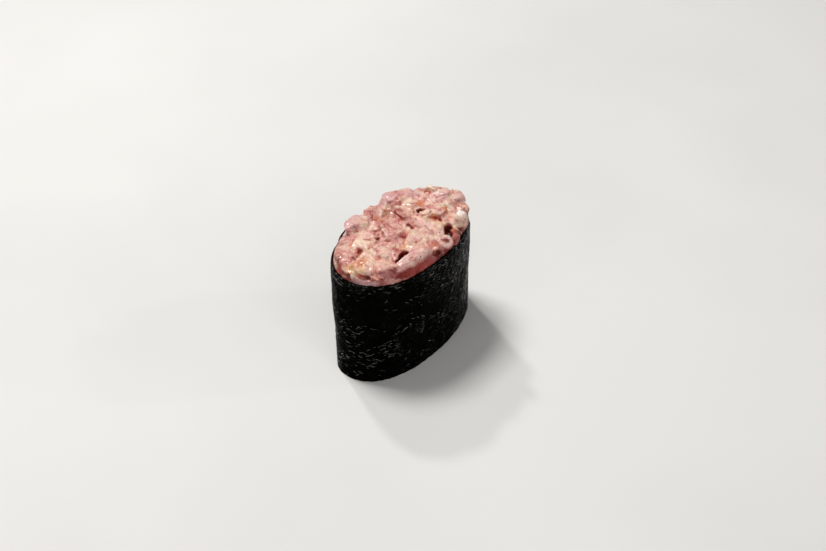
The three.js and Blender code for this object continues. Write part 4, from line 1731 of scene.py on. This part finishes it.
@dataclass(frozen=True)
class Lamp:
    """A soft square light: its name, its place and width in metres, and its power in watts."""

    name: str
    place: tuple[float, float, float]
    width: float
    power: float

    def add(self, target: Vector) -> None:
        """Hang the light.

        Args:
            target: Where it points to.
        """
        light = bpy.data.lights.new(self.name, "AREA")
        light.size = self.width
        light.energy = self.power
        holder = new_object(self.name, light)
        holder.location = self.place
        holder.rotation_euler = (target - Vector(self.place)).to_track_quat("-Z", "Y").to_euler()


@dataclass
class Studio:
    """The pale floor, the soft lights and the camera at the photograph's angle."""

    wall: Wall
    azimuth: float = -56.74
    elevation: float = 37.28
    distance: float = 435.0
    focal_pixels: float = 1545.0
    origin_x: float = 403.9
    origin_y: float = 329.7
    sensor: float = 36.0
    floor_size: float = 4.0
    surround: float = 0.16
    surround_colour: str = "#ffffff"
    clip_start: float = 0.01
    lamp_target: tuple[float, float, float] = (0.0, 0.0, 0.02)
    lamps: tuple[Lamp, ...] = (
        Lamp("key", (0.0, 0.3, 0.74), 0.22, 4.7),
        Lamp("glint", (0.25, 0.45, 0.55), 0.05, 1.5),
        Lamp("near", (-0.35, -0.6, 0.55), 0.35, 1.1),
        Lamp("fill", (-0.65, -0.1, 0.45), 0.3, 0.15),
        Lamp("side", (0.4, -0.5, 0.35), 0.04, 0.4),
        Lamp("front", (-0.45, -0.35, 0.6), 0.04, 0.3),
        Lamp("low", (-0.2, -0.6, 0.25), 0.03, 0.25),
        Lamp("left", (-0.6, 0.1, 0.25), 0.03, 0.15),
    )

    def build(self) -> None:
        """Make the whole studio."""
        self.add_floor()
        self.add_lights()
        self.add_camera()

    def add_floor(self) -> None:
        """Add the floor, which isn't part of the object."""
        bm = bmesh.new()
        bmesh.ops.create_grid(bm, x_segments=1, y_segments=1, size=self.floor_size / 2)
        mesh = mesh_of(bm, "floor")
        mesh.materials.append(BOARD.make())
        new_object("floor", mesh)

    def add_lights(self) -> None:
        """Add a soft key from above, weaker lights round the sushi and a dim even surround."""
        for lamp in self.lamps:
            lamp.add(Vector(self.lamp_target))
        world = bpy.data.worlds.new("surround")
        world.use_nodes = True
        background = world.node_tree.nodes["Background"]
        background.inputs["Color"].default_value = linear(self.surround_colour)
        background.inputs["Strength"].default_value = self.surround
        bpy.context.scene.world = world
        bpy.context.scene.view_settings.view_transform = "Standard"

    def add_camera(self) -> None:
        """Add the camera, turned so that the sushi stands where the photograph has it."""
        turn = math.radians(self.azimuth)
        tilt = math.radians(self.elevation)
        level = math.cos(tilt)
        back = Vector((math.sin(turn) * level, -math.cos(turn) * level, math.sin(tilt)))
        right = Vector((math.cos(turn), math.sin(turn), 0))
        above = back.cross(right)
        scale = self.distance / self.focal_pixels
        aside = (IMAGE_WIDTH / 2 - self.origin_x) * scale
        over = (self.origin_y - IMAGE_HEIGHT / 2) * scale
        base = Vector((self.wall.shift_x, self.wall.shift_y, 0)) * MM
        aim = base + (right * aside + above * over) * MM
        data = bpy.data.cameras.new("camera")
        data.sensor_width = self.sensor
        data.lens = self.focal_pixels / IMAGE_WIDTH * self.sensor
        data.clip_start = self.clip_start
        camera = new_object("camera", data)
        camera.location = base + back * self.distance * MM
        camera.rotation_euler = (aim - camera.location).to_track_quat("-Z", "Y").to_euler()
        bpy.context.scene.camera = camera


def main() -> None:
    """Build the sushi piece by piece, then the studio round it."""
    logging.basicConfig(level=logging.INFO, format="%(name)s %(message)s")
    LOG.info("dressing %s", ", ".join(sorted(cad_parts)))
    wall = Wall()
    band = NoriBand(wall, NoriFinish()).build()
    NoriBlades(wall, band).build()
    RiceBed(wall).build()
    heap = TunaHeap(wall, TunaFinish()).build()
    Spices(wall, heap).build()
    Studio(wall).build()


if __name__ == "__main__":
    main()
